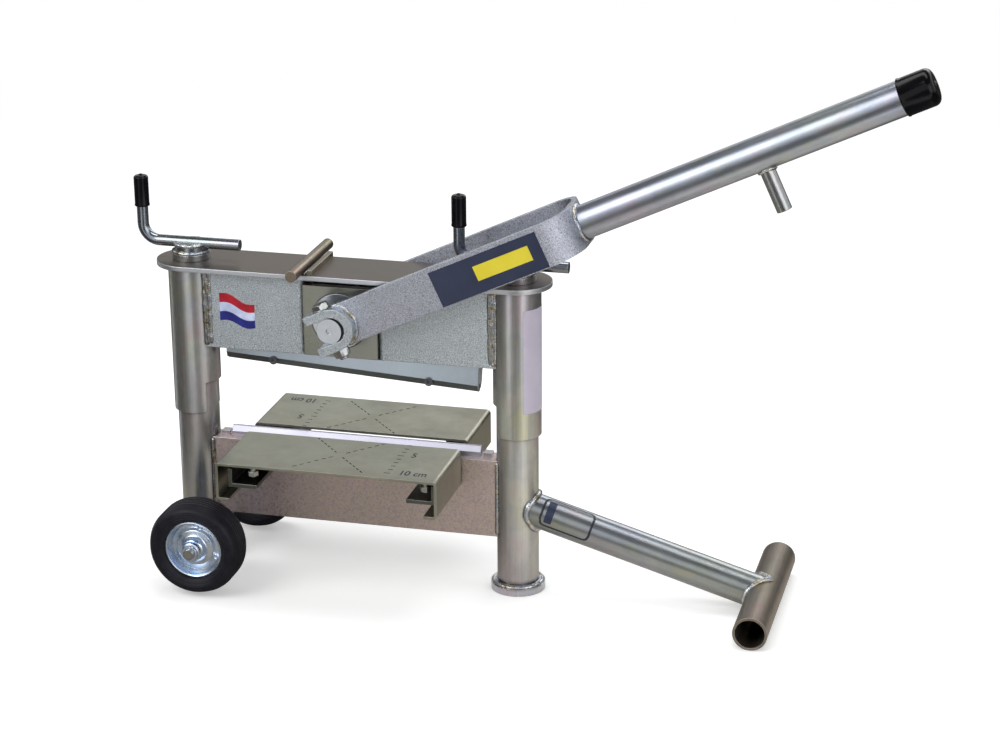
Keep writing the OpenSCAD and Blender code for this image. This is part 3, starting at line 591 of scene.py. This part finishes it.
def bead_mesh(points, radius, closed=False, sides=10, seed=0.0, lumps=0.22):
    """A weld bead along a path: a round bar with the scales of a moving weld pool."""
    scale_pitch, scale_height = 2.3, 0.13
    lump_rate = 0.16
    step = 0.75
    lowest = 0.3
    path = resampled(points, step, closed)
    count = len(path)
    verts, faces = [], []
    across = None
    for k, here in enumerate(path):
        after = path[(k + 1) % count] if closed or k < count - 1 else here
        before = path[k - 1] if closed or k > 0 else here
        along = (after - before).normalized()
        if across is None:
            across = along.orthogonal().normalized()
        across = (across - along * across.dot(along)).normalized()
        other = along.cross(across)
        wave = (k * step / scale_pitch) % 1.0
        lump = lumps * noise.noise(here * lump_rate + Vector((seed, 0, 0)))
        swell = 1.0 + scale_height * (1.0 - wave) + lump
        to_end = min(k, count - 1 - k) * step
        end = 1.0 if closed else min(1.0, 0.35 + 0.65 * sqrt(to_end / radius / 1.5))
        for i in range(sides):
            a = tau * i / sides
            point = here + (across * cos(a) + other * sin(a)) * radius * swell * end
            point.z = max(point.z, lowest)
            verts.append(point)
    rings = count if closed else count - 1
    for k in range(rings):
        for i in range(sides):
            a, b = k * sides, ((k + 1) % count) * sides
            j = (i + 1) % sides
            faces.append((a + i, a + j, b + j, b + i))
    if not closed:
        faces.append(tuple(reversed(range(sides))))
        faces.append(tuple((count - 1) * sides + i for i in range(sides)))
    return verts, faces


def beads(name, body, paths, radius, closed=False, material=bright_weld, lumps=0.22):
    """One piece of several weld beads of the same size."""
    meshes = [bead_mesh(points, radius, closed, seed=3.7 * i, lumps=lumps) for i, points in enumerate(paths)]
    return piece(name, *joined(*meshes), material, body, "zinc_small", sharp=60.0)


def circle(centre, radius, axis_x, axis_y, count=64, start=0.0, sweep=tau):
    """Points on a circle or an arc."""
    points = []
    for i in range(count if sweep >= tau else count + 1):
        a = start + sweep * i / count
        points.append(Vector(centre) + (Vector(axis_x) * cos(a) + Vector(axis_y) * sin(a)) * radius)
    return points


def saddle(place, radius, other_point, other_axis, other_radius, far, count=72):
    """Where a tube along the place's X axis meets another tube's surface."""
    origin = place @ Vector((0, 0, 0))
    along = (place.to_3x3() @ Vector((1, 0, 0))).normalized()
    up = (place.to_3x3() @ Vector((0, 0, 1))).normalized()
    side = up.cross(along)
    axis = Vector(other_axis).normalized()
    points = []
    for i in range(count):
        a = tau * i / count
        start = origin + (up * cos(a) + side * sin(a)) * radius
        gap = start - Vector(other_point)
        gap -= axis * gap.dot(axis)
        step = along - axis * along.dot(axis)
        # The way along the tube is a root of square * way ** 2 + linear * way + rest
        square, linear, rest = step.dot(step), 2 * gap.dot(step), gap.dot(gap) - other_radius ** 2
        root = sqrt(max(0.0, linear * linear - 4 * square * rest))
        points.append(start + along * ((-linear + (root if far else -root)) / (2 * square)))
    return points


# Weld beads

def level_ring(x, z, radius):
    """Points on a level circle about a column."""
    return circle((x, 0, z), radius, (1, 0, 0), (0, 1, 0))


def column_welds():
    """Rings round the feet, the sleeves' tops and the cranks, and upright seams at the beams."""
    corner = sqrt(SLEEVE_R ** 2 - UPPER_HALF ** 2)
    lower_corner = sqrt(COLUMN_R ** 2 - BEAM_HALF ** 2)
    for x, side, word in ((LEFT_X, 1, "left"), (RIGHT_X, -1, "right")):
        rings = [level_ring(x, FOOT_T + 0.6, COLUMN_R + out) for out in (0.9, 3.4)]
        beads(f"{word}_foot_weld", "base", rings, 2.1, closed=True, lumps=0.4)
        beads(f"{word}_top_weld", "head", [level_ring(x, TOP_UNDER - 0.8, SLEEVE_R + 0.4)], 1.7, closed=True)
        seams = []
        for face in (-1, 1):
            for out in (1.5, 4.1, 6.7):
                place = (x + side * (corner + out), face * (UPPER_HALF - 0.6))
                seams.append([(*place, UPPER_BOTTOM + 1.5 + 0.4 * out), (*place, TOP_UNDER - 2.0)])
            crater = (x + side * (corner + 3.0), face * (UPPER_HALF - 0.6))
            seams.append([(*crater, UPPER_BOTTOM + 2.0), (*crater, UPPER_BOTTOM + 8.0)])
        beads(f"{word}_plate_welds", "head", seams, 2.5, material=dull_weld, lumps=0.35)
        seams = []
        for face in (-1, 1):
            place = (x + side * (lower_corner + 1.0), face * (BEAM_HALF + 0.4))
            seams.append([(*place, BEAM_BOTTOM + 2.0), (*place, BEAM_TOP - 1.0)])
        beads(f"{word}_beam_welds", "base", seams, 2.2, material=dull_weld)
        rings = [level_ring(x, CRANK_Z - 0.6, BOSS_R - 1.0), level_ring(x, CRANK_Z - 8.6, BOSS_R + 0.6)]
        beads(f"{word}_crank_weld", f"{word}_screw", rings, 2.0, closed=True, lumps=0.6)


def frame_welds():
    """Both ends of the strut, the brackets and the stop bar."""
    at_column = saddle(STRUT, BAR_R + 0.6, (0, 0, 0), (0, 0, 1), COLUMN_R + 0.6, True)
    beads("strut_column_weld", "base", [at_column], 3.0, closed=True)
    at_cross = saddle(STRUT, BAR_R + 0.6, (CROSS_X, 0, BAR_R), (0, 1, 0), BAR_R + 0.6, False)
    beads("strut_cross_weld", "base", [at_cross], 3.0, closed=True)
    paths = [[(x0, face * (BEAM_HALF + 0.8), BRACKET_Z), (x1, face * (BEAM_HALF + 0.8), BRACKET_Z)]
             for x0, x1 in BRACKET_SPANS for face in (-1, 1)]
    beads("bracket_welds", "base", paths, 2.0)
    sides = [[(STOP_X + dx, y0, TOP_Z + 0.6), (STOP_X + dx, y1, TOP_Z + 0.6)]
             for dx in (-4.6, 4.6) for y0, y1 in STOP_WELDS]
    beads("stop_bar_welds", "head", sides, 1.6)


def lever_welds():
    """The ring where the tube meets the fork, the crescents at the yokes, and the peg."""
    ring = circle((FORK_LENGTH + 0.3, 0, 0), BAR_R + 0.4, (0, 1, 0), (0, 0, 1))
    beads("lever_fork_weld", "lever", [[LEVER @ p for p in ring]], 2.2, closed=True, lumps=0.12)
    crescents = []
    half_arc = 1.28
    for face in (-1, 1):
        for y, radius in ((FORK_W / 2 + 0.6, YOKE_HALF + 0.8), (FORK_W / 2 - 6.4, YOKE_HALF + 0.6)):
            arc = circle((YOKE_U, face * y, 0), radius, (1, 0, 0), (0, 0, 1), 40, -half_arc, 2 * half_arc)
            crescents.append([LEVER @ p for p in arc])
    beads("yoke_welds", "lever", crescents, 2.4, lumps=0.12)
    peg = LEVER @ shift(PEG_U, 0, 0) @ spin(90, "Y")
    tube_axis = LEVER.to_3x3() @ Vector((1, 0, 0))
    ring = saddle(peg, 8.6, peg @ Vector((0, 0, 0)), tube_axis, BAR_R + 0.5, True)
    beads("peg_weld", "lever", [ring], 1.7, closed=True)


column_welds()
frame_welds()
lever_welds()


# Wheels

def on_axle(side, degrees):
    """The frame at a wheel's outer face, turned so that its Z axis lies along the axle."""
    return shift(AXLE_X, side * WHEEL_Y, AXLE_Z) @ spin(degrees, "X")


def wheel(word, side):
    """A tyre with fine ribs on its wall and tread, and a dished rim with a rolled lip and two eyelets."""
    body = f"{word}_wheel"
    place = on_axle(side, 90 * side)
    outer = [(RIM_R + 0.2, 5.0), (RIM_R + 1.2, 3.6), (33.8, 2.6), (35.6, 1.7), (37.0, 1.0), (37.6, 1.35),
             (38.2, 1.0), (39.6, 0.35), (40.2, 0.75), (40.8, 0.4), (42.2, 0.25), (42.8, 0.7), (43.4, 0.5),
             (44.6, 1.0), (46.0, 2.0), (47.2, 3.3), (48.2, 4.9), (48.9, 6.6), (49.5, 8.6)]
    tread = []
    for i in range(5):
        middle = 12.0 + 4.5 * i
        tread += [(TYRE_R - 0.35, middle - 1.9), (TYRE_R, middle - 1.2), (TYRE_R, middle + 1.2),
                  (TYRE_R - 0.35, middle + 1.9), (TYRE_R - 1.1, middle + 2.25)]
    profile = outer + tread[:-1] + [(r, TYRE_W - h) for r, h in reversed(outer)]
    turned_tyre = lathe(profile, place, 120, ring=True)
    tyre = piece(f"{word}_ribbed_tyre", *turned_tyre, tyre_rubber, body, "tyre_rubber", 50.0)
    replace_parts(tyre, f"{word}_tyre")
    face = [(HUB_R, 3.2), (9.9, 3.2), (11.0, 3.7), (12.0, 4.9), (12.6, 6.8), (13.4, 9.2), (14.6, 10.3),
            (17.6, 10.7), (19.6, 11.0), (20.4, 11.6), (20.9, 13.6), (21.6, 14.6), (22.8, 15.0), (24.6, 15.3),
            (26.0, 15.2), (27.2, 13.8), (28.0, 10.8), (28.6, 7.6), (29.2, 5.6), (30.3, 4.9), (RIM_R, 5.4)]
    back = [(RIM_R, 36.0), (29.2, 36.0), (28.6, 30.0), (27.9, 17.4), (24.4, 17.3), (19.0, 16.2), (15.0, 12.2),
            (11.0, 11.8), (10.0, 14.0), (9.9, 37.8), (HUB_R, 37.8)]
    dish = lathe(face + back, place, 96, ring=True)
    rim = piece(f"{word}_dished_rim", *dish, rim_zinc, body, "rim_zinc", 40.0)
    grommet = [(1.7, 13.4), (2.5, 13.0), (3.2, 13.6), (3.4, 15.9), (1.7, 15.9)]
    plug = [(0, 14.3), (1.75, 14.3), (1.75, 15.6), (0, 15.6)]
    holes = []
    for a in (radians(-75), radians(22)):
        centre = place @ shift(EYELET_R * cos(a), EYELET_R * sin(a), 0)
        holes.append(lathe(grommet, centre, 28, ring=True))
        holes.append(lathe(plug, centre, 28))
    eyelets = piece(f"{word}_rim_eyelets", *joined(*holes), rim_zinc, body, "rim_zinc")
    eyelets.parent = rim
    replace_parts(rim, f"{word}_rim")


def axle_ends():
    """Push-on caps, and the turned ends of the axle."""
    cap = [(6.1, 0.6), (9.4, 0.6), (10.2, 0.9), (10.2, 1.5), (9.2, 1.9), (8.7, 2.4), (8.6, 4.4), (8.0, 5.2),
           (6.1, 5.4)]
    end = [(6.08, 5.0), (6.08, 8.0), (5.3, 8.9), (0, 8.9)]
    outward = [on_axle(side, -90 * side) for side in (-1, 1)]
    caps = [lathe(cap, place, 56, ring=True) for place in outward]
    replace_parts(piece("axle_push_caps", *joined(*caps), rim_zinc, "base", "zinc_small"), "axle_caps")
    ends = [lathe(end, place, 48) for place in outward]
    piece("axle_end_faces", *joined(*ends), turned_axle, "base", "zinc_small")


wheel("front", -1)
wheel("back", 1)
axle_ends()


# Grips and caps

def rounded_cap(radius, length, bore, depth, nub, rim):
    """Profile of a dipped plastic cap: open rolled rim, long wall, domed end with a small nub."""
    bend = radius * 0.36
    flat = radius - bend
    inside = [(0, depth), (bore, depth), (bore, 0.2), (bore + 0.3, 0.0)]
    wall = [(radius - 0.2, -0.2), (radius + rim, 0.3), (radius + rim, 1.6), (radius, 2.3)]
    dome = [(radius - bend * (1 - cos(a)), length - bend * (1 - sin(a)))
            for a in (radians(15 * i) for i in range(7))]
    end = [(flat * 0.6, length + 0.25), (nub + 0.6, length + 0.35), (nub, length + 0.9),
           (nub * 0.7, length + 1.6), (0, length + 1.75)]
    return inside + wall + dome + end


def crank_grips():
    """The grips on the upright ends of the cranks."""
    profile = rounded_cap(radius=7.7, length=33.0, bore=6.05, depth=30.1, nub=1.6, rim=0.3)
    for word, x in GRIP_X.items():
        shell = lathe(profile, shift(x, 0, GRIP_Z), 56)
        grip = piece(f"{word}_dipped_grip", *shell, black_plastic, f"{word}_screw", "black_plastic", 50.0)
        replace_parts(grip, f"{word}_grip")


def lever_end():
    """The cap on the end of the lever tube."""
    length = 34.5
    place = LEVER @ shift(LEVER_END - length, 0, 0) @ spin(90, "Y")
    profile = rounded_cap(radius=19.2, length=length, bore=18.05, depth=30.6, nub=2.6, rim=0.5)
    shell = lathe(profile, place, 96)
    cap = piece("dipped_lever_cap", *shell, black_plastic, "lever", "black_plastic", 50.0)
    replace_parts(cap, "lever_cap")


crank_grips()
lever_end()


# Bolts and buffers

def hex_prism(across, height, chamfer, place, bore=0.0):
    """A hexagon with its corners turned off at the top, closed or with a bore."""
    sides = 48
    verts, faces = [], []

    def ring(height_at, limit):
        start = len(verts)
        for i in range(sides):
            a = tau * i / sides
            local = (a % radians(60)) - radians(30)
            reach = min(across / 2 / cos(local), limit)
            verts.append(place @ Vector((reach * cos(a), reach * sin(a), height_at)))
        return start

    corner = across / 2 / cos(radians(30))
    rows = [ring(0, corner), ring(height - chamfer, corner), ring(height - chamfer * 0.35, across / 2 * 1.04),
            ring(height, across / 2 * 0.93)]
    if bore:
        for h in (height, 0):
            rows.append(ring(h, bore))
        rows.append(rows[0])
    for a, b in zip(rows, rows[1:]):
        for i in range(sides):
            j = (i + 1) % sides
            faces.append((a + i, a + j, b + j, b + i))
    if not bore:
        faces.append(tuple(rows[-1] + i for i in range(sides)))
        faces.append(tuple(rows[0] + i for i in reversed(range(sides))))
    return verts, faces


def threaded_rod(radius, pitch, z0, z1, place):
    """A rod with thread rings and bevelled ends."""
    profile = [(0, z0), (radius - 0.8, z0), (radius - 0.1, z0 + 0.7)]
    z = z0 + 0.7
    while z + pitch < z1 - 0.7:
        profile += [(radius - 0.45, z + pitch * 0.5), (radius, z + pitch * 0.9)]
        z += pitch
    profile += [(radius - 0.8, z1), (0, z1)]
    return lathe(profile, place, 32)


def yoke_fasteners():
    """A flanged bolt and a nut through each yoke."""
    across_flats, thread_pitch = 16.2, 1.5
    flange = [(0, 0), (9.6, 0), (9.9, 0.5), (9.6, 1.2), (0, 1.2)]
    bolts, nuts = [], []
    for side in (-1, 1):
        base = LEVER @ shift(0, side * YOKE_MID, 0) @ spin(14 * side, "Z")
        head = base @ shift(0, 0, YOKE_HALF + 0.1)
        bolts.append(lathe(flange, head, 48))
        bolts.append(hex_prism(across_flats, 6.0, 1.2, head @ shift(0, 0, 1.0)))
        bolts.append(threaded_rod(5.0, thread_pitch, -YOKE_HALF - 11.0, YOKE_HALF + 0.3, base))
        turned = base @ shift(0, 0, -YOKE_HALF - 0.1) @ spin(180, "X")
        nuts.append(hex_prism(across_flats, 8.0, 1.3, turned, 5.05))
    hex_bolts = piece("yoke_hex_bolts", *joined(*bolts), small_zinc, "lever", "zinc_small", 30.0)
    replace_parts(hex_bolts, "yoke_bolts")
    hex_nuts = piece("yoke_hex_nuts", *joined(*nuts), small_zinc, "lever", "zinc_small", 30.0)
    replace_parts(hex_nuts, "yoke_nuts")


def table_buffers():
    """Bulged rubber buffers with flanged ends."""
    low, high = 133.05, 153.95
    steps = 10
    profile = [(0, low), (10.0, low), (10.0, low + 1.6), (9.4, low + 2.2)]
    for i in range(steps + 1):
        bulge = sin(pi * i / steps)
        profile.append((9.0 + bulge, low + 2.6 + (high - low - 5.2) * i / steps))
    profile += [(9.4, high - 2.2), (10.0, high - 1.6), (10.0, high), (0, high)]
    for word, side in (("front", -1), ("back", 1)):
        parts = [lathe(profile, shift(x, side * BUFFER_Y, 0), 48) for x in BUFFER_X]
        rubber_pair = piece(f"{word}_bulged_buffers", *joined(*parts), buffer_rubber, "base", "buffer_rubber")
        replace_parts(rubber_pair, f"{word}_buffers")
        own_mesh(rubber_pair)


yoke_fasteners()
table_buffers()


# Labels and marks

def panel(name, corners, thickness, material, body, bow=0.0, count=1):
    """A thin label between four corners (start low, end low, end high, start high), with an optional wave."""
    a, b, c, d = (Vector(p) for p in corners)
    out = (b - a).cross(d - a).normalized()
    verts, faces = [], []
    for layer in (0.0, thickness):
        for i in range(count + 1):
            t = i / count
            wave = (d - a).normalized() * bow * sin(tau * t)
            verts.append(a.lerp(b, t) + wave + out * layer)
            verts.append(d.lerp(c, t) + wave + out * layer)
    top = 2 * (count + 1)
    for i in range(count):
        k = 2 * i
        faces.append((top + k, top + k + 2, top + k + 3, top + k + 1))
        faces.append((k, k + 1, k + 3, k + 2))
        faces.append((k, k + 2, top + k + 2, top + k))
        faces.append((k + 1, top + k + 1, top + k + 3, k + 3))
    faces.append((0, top, top + 1, 1))
    end = 2 * count
    faces.append((end, end + 1, top + end + 1, top + end))
    return piece(name, verts, faces, material, body, "black_plastic")


def cylinder_label(name, place, radius, angles, span, material, body, thickness, corner):
    """A label with rounded corners on a tube about the place's Z axis, between two angles and two heights."""
    columns, rows = 28, 24
    start, end = (radians(a) for a in angles)
    low, high = span

    def bounds_at(height):
        inset = corner - min(corner, height - low, high - height)
        cut = corner - sqrt(max(0.0, corner ** 2 - inset ** 2))
        return start + cut / radius, end - cut / radius

    verts, faces = [], []
    even = {low + (high - low) * i / rows for i in range(rows + 1)}
    at_corners = {z for k in range(4) for z in (low + corner * k / 4, high - corner * k / 4)}
    heights = sorted(even | at_corners)
    for layer in (radius + 0.02, radius + 0.02 + thickness):
        for height in heights:
            a0, a1 = bounds_at(height)
            for i in range(columns + 1):
                a = a0 + (a1 - a0) * i / columns
                verts.append(place @ Vector((layer * cos(a), layer * sin(a), height)))
    width, total = columns + 1, (columns + 1) * len(heights)
    last = len(heights) - 1
    for r in range(last):
        for i in range(columns):
            k = r * width + i
            faces.append((total + k, total + k + 1, total + k + width + 1, total + k + width))
            faces.append((k, k + width, k + width + 1, k + 1))
    border = [*range(width), *(r * width + columns for r in range(1, last + 1))]
    border += [last * width + i for i in reversed(range(columns))]
    border += [r * width for r in reversed(range(1, last))]
    for a, b in zip(border, border[1:] + border[:1]):
        faces.append((a, b, total + b, total + a))
    return piece(name, verts, faces, material, body, "black_plastic", 30.0)


def fork_label():
    """A navy panel on the front arm with a yellow bar."""
    y = -FORK_W / 2 - 0.05

    def corners(u0, u1, low, high, lift):
        return [LEVER @ Vector((u, y - lift, n)) for u, n in ((u0, low), (u1, low), (u1, high), (u0, high))]

    panel("fork_navy_label", corners(123, 246, -21.5, 17.5, 0.0), 0.25, navy_film, "lever")
    panel("fork_yellow_bar", corners(170, 233, -9, 7, 0.27), 0.06, yellow_film, "lever")


def stripe_sticker():
    """Three plain waving stripes on the left plate."""
    y = -UPPER_HALF - 0.05
    x0, x1 = -320.0, -281.0
    left_low, left_step = 282.0, 10.1
    right_low, right_step = 276.0, 8.7
    for i, material in enumerate((blue_film, pale_film, red_film)):
        left, right = left_low + left_step * i, right_low + right_step * i
        corners = ((x0, y, left), (x1, y, right), (x1, y, right + right_step), (x0, y, left + left_step))
        panel(f"stripe_{i + 1}", corners, 0.2, material, "head", 2.4, 24)


def tube_labels():
    """A white label on the right sleeve, and a framed label with a navy block on the strut."""
    up = Matrix.Identity(4)
    strut = STRUT @ spin(90, "Y")
    cylinder_label("sleeve_white_label", up, SLEEVE_R, (-62, 28), (205.0, 318.0), white_film, "head",
                   0.25, 2.5)
    cylinder_label("strut_plate_border", strut, BAR_R, (180, 292), (28.0, 85.0), ink, "base", 0.12, 7.0)
    cylinder_label("strut_plate_field", strut, BAR_R + 0.16, (188, 284), (30.5, 82.5), tube_strut, "base",
                   0.12, 5.0)
    cylinder_label("strut_plate_block", strut, BAR_R + 0.3, (196, 276), (33.5, 42.0), navy_film, "base",
                   0.06, 1.5)


def table_numbers():
    """Centimetre numbers beside the slots of each table."""
    size, depth, stroke, narrow = 17.0, 0.03, 0.22, 0.72
    for word, turn in (("front", 0), ("back", 180)):
        for text, x, y in (("5", 74.0, -48.0), ("10 cm", 75.0, -98.0)):
            curve = bpy.data.curves.new(f"{word}_number", "FONT")
            curve.body = text
            curve.size = size * MM
            curve.extrude = depth * MM
            curve.offset = stroke * MM
            label = added(f"{word}_number", curve)
            place = shift(MID_X * MM, 0, 0) @ spin(turn, "Z")
            corner = shift(x * MM, y * MM, (TABLE_TOP + 0.04) * MM)
            label.matrix_world = place @ corner @ Matrix.Diagonal((narrow, 1.0, 1.0, 1.0))
            bpy.context.view_layer.update()
            mesh = bpy.data.meshes.new_from_object(label)
            mesh.transform(label.matrix_world)
            bpy.data.objects.remove(label)
            mesh.materials.clear()
            mesh.materials.append(ink)
            mark = added(f"{word}_number_{text[:2].strip()}", mesh)
            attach(mark, f"{word}_deck")


fork_label()
stripe_sticker()
tube_labels()
table_numbers()


# Camera, at the photograph's viewing angle

IMAGE_W = 1000.0
FOCAL_PX = 2525.74
CAMERA_MM = (605.71, -2407.40, 1119.82)
YAW, PITCH, ROLL = 0.25375, 0.34027, -0.00723

forward = Vector((-sin(YAW) * cos(PITCH), cos(YAW) * cos(PITCH), -sin(PITCH)))
level = Vector((cos(YAW), sin(YAW), 0))
above = level.cross(forward)
right = level * cos(ROLL) + above * sin(ROLL)
up = above * cos(ROLL) - level * sin(ROLL)
camera_data = bpy.data.cameras.new("camera")
camera_data.sensor_width = 36.0
camera_data.lens = FOCAL_PX / IMAGE_W * camera_data.sensor_width
camera = added("camera", camera_data)
turn = Matrix((right, up, -forward)).transposed().to_4x4()
camera.matrix_world = Matrix.Translation(Vector(CAMERA_MM) * MM) @ turn
bpy.context.scene.camera = camera


# Studio, in metres

AIM = Vector((-0.1, 0.0, 0.25))
LIGHT_SPOT = (0.32, -0.14, 0.0)


def seen_rays(tree):
    """1 for rays from the camera, a glossy surface or a clear one, otherwise 0."""
    path = tree.nodes.new("ShaderNodeLightPath")
    seen = path.outputs["Is Camera Ray"]
    for kind in ("Is Glossy Ray", "Is Transmission Ray"):
        either = tree.nodes.new("ShaderNodeMath")
        either.operation = "MAXIMUM"
        tree.links.new(seen, either.inputs[0])
        tree.links.new(path.outputs[kind], either.inputs[1])
        seen = either.outputs[0]
    return seen


def world():
    """A white surround, which lights the object less than it shows."""
    fill = 0.45
    sky = bpy.data.worlds.new("studio")
    sky.use_nodes = True
    bpy.context.scene.world = sky
    tree = sky.node_tree
    background = tree.nodes["Background"]
    background.inputs["Color"].default_value = (1, 1, 1, 1)
    strength = tree.nodes.new("ShaderNodeMapRange")
    strength.inputs["To Min"].default_value = fill
    strength.inputs["To Max"].default_value = 1.0
    tree.links.new(seen_rays(tree), strength.inputs["Value"])
    tree.links.new(strength.outputs["Result"], background.inputs["Strength"])


def floor():
    """A pale floor with the object's shadow, which passes into the white background further out."""
    size, fade_start, fade_end, near_glow = 14.0, 0.9, 2.6, 0.34
    s = Shader("pale_floor", 0.0, 0.0)
    s.set(Roughness=0.9, Emission_Color=(1, 1, 1, 1))
    coord = s.add("ShaderNodeTexCoord")
    reach = s.add("ShaderNodeVectorMath", operation="LENGTH")
    s.link(coord.outputs["Object"], reach.inputs[0])
    far = s.span(reach.outputs["Value"], 0.0, 1.0, fade_start, fade_end)
    glow = s.add("ShaderNodeMath", operation="MULTIPLY")
    s.link(s.span(far, near_glow, 1.0), glow.inputs[0])
    s.link(seen_rays(s.tree), glow.inputs[1])
    s.link(glow.outputs[0], s.principled.inputs["Emission Strength"])
    grain = s.ramp(s.noise(s.place(), 3.0, 2.0), ((0.0, (0.86, 0.86, 0.86)), (1.0, (0.9, 0.9, 0.9))))
    s.finish(s.mix(far, grain, (0.0, 0.0, 0.0)))
    mesh = bpy.data.meshes.new("floor")
    corners = [(-size, -size, 0), (size, -size, 0), (size, size, 0), (-size, size, 0)]
    mesh.from_pydata(corners, [], [(0, 1, 2, 3)])
    mesh.materials.append(s.material)
    obj = added("floor", mesh)


def card(name, low, high, verts, faces, light=None):
    """A cloth card that is seen only in reflections, mottled between two colours.

    A light colour paints a soft pool of light round LIGHT_SPOT, seen in reflections.
    """
    s = Shader(f"{name}_cloth", 0.0, 0.0)
    s.set(Roughness=1.0)
    colour = s.ramp(s.noise(s.place(), 2.0, 3.0), ((0.3, low), (0.7, high)))
    # Painted pool of light round LIGHT_SPOT.
    if light:
        away = s.add("ShaderNodeVectorMath", operation="DISTANCE")
        away.inputs[1].default_value = LIGHT_SPOT
        s.link(s.place(), away.inputs[0])
        colour = s.mix(s.span(away.outputs["Value"], 1.0, 0.0, 0.2, 0.5), colour, light)
    s.finish(colour)
    mesh = bpy.data.meshes.new(name)
    mesh.from_pydata(verts, [], faces)
    mesh.materials.append(s.material)
    obj = added(name, mesh)
    obj.visible_camera = False
    obj.visible_diffuse = False
    obj.visible_shadow = False


def floor_sector(start, end, near, far, height, steps=10):
    """A sector of a flat ring on the floor between two angles, with a low wall along its outer edge."""
    lift = 0.004
    verts, faces = [], []
    for i in range(steps + 1):
        a = radians(start + (end - start) * i / steps)
        out = Vector((cos(a), sin(a), 0))
        for reach, z in ((near, lift), (far, lift), (far, lift + height)):
            verts.append(out * reach + Vector((0, 0, z)))
    for k in range(0, 3 * steps, 3):
        faces.append((k, k + 1, k + 4, k + 3))
        if height:
            faces.append((k + 1, k + 2, k + 5, k + 4))
    return verts, faces


def cards():
    """Dark cards on the studio floor, round it and above the lamps, with open strips between them."""
    near, middle, far, wall = 0.035, 0.62, 3.2, 0.8
    ceiling, half = 3.0, 3.3
    dark_angles = ((-190, -124), (-106, -58), (-34, 165))
    sectors = [floor_sector(a, b, middle, far, wall) for a, b in dark_angles]
    above_lamps = [(x * half, y * half, ceiling) for x, y in ((-1, -1), (1, -1), (1, 1), (-1, 1))]
    dark = joined(*sectors, (above_lamps, [(0, 1, 2, 3)]))
    card("dark_cards", (0.07, 0.068, 0.062), (0.13, 0.125, 0.115), *dark)
    round_floor = floor_sector(-180, 180, near, middle, 0.0, 40)
    card("floor_card", (0.30, 0.27, 0.23), (0.38, 0.35, 0.30), *round_floor, light=(0.90, 0.84, 0.75))


def softbox(name, place, size, power):
    """A rectangular lamp that faces the middle of the object."""
    data = bpy.data.lights.new(name, "AREA")
    data.shape = "RECTANGLE"
    data.size, data.size_y = size
    data.energy = power
    obj = added(name, data)
    obj.location = place
    obj.rotation_euler = (AIM - Vector(place)).to_track_quat("-Z", "Y").to_euler()


world()
floor()
cards()
softbox("key_softbox", (-1.5, -1.7, 2.0), (1.7, 1.7), 34.0)
softbox("fill_softbox", (1.9, -1.5, 1.3), (1.8, 1.8), 16.0)
softbox("top_softbox", (0.1, 0.4, 2.6), (2.2, 0.9), 26.0)
softbox("back_softbox", (0.6, 2.2, 1.6), (1.4, 0.8), 10.0)
bpy.context.scene.view_settings.view_transform = "Standard"
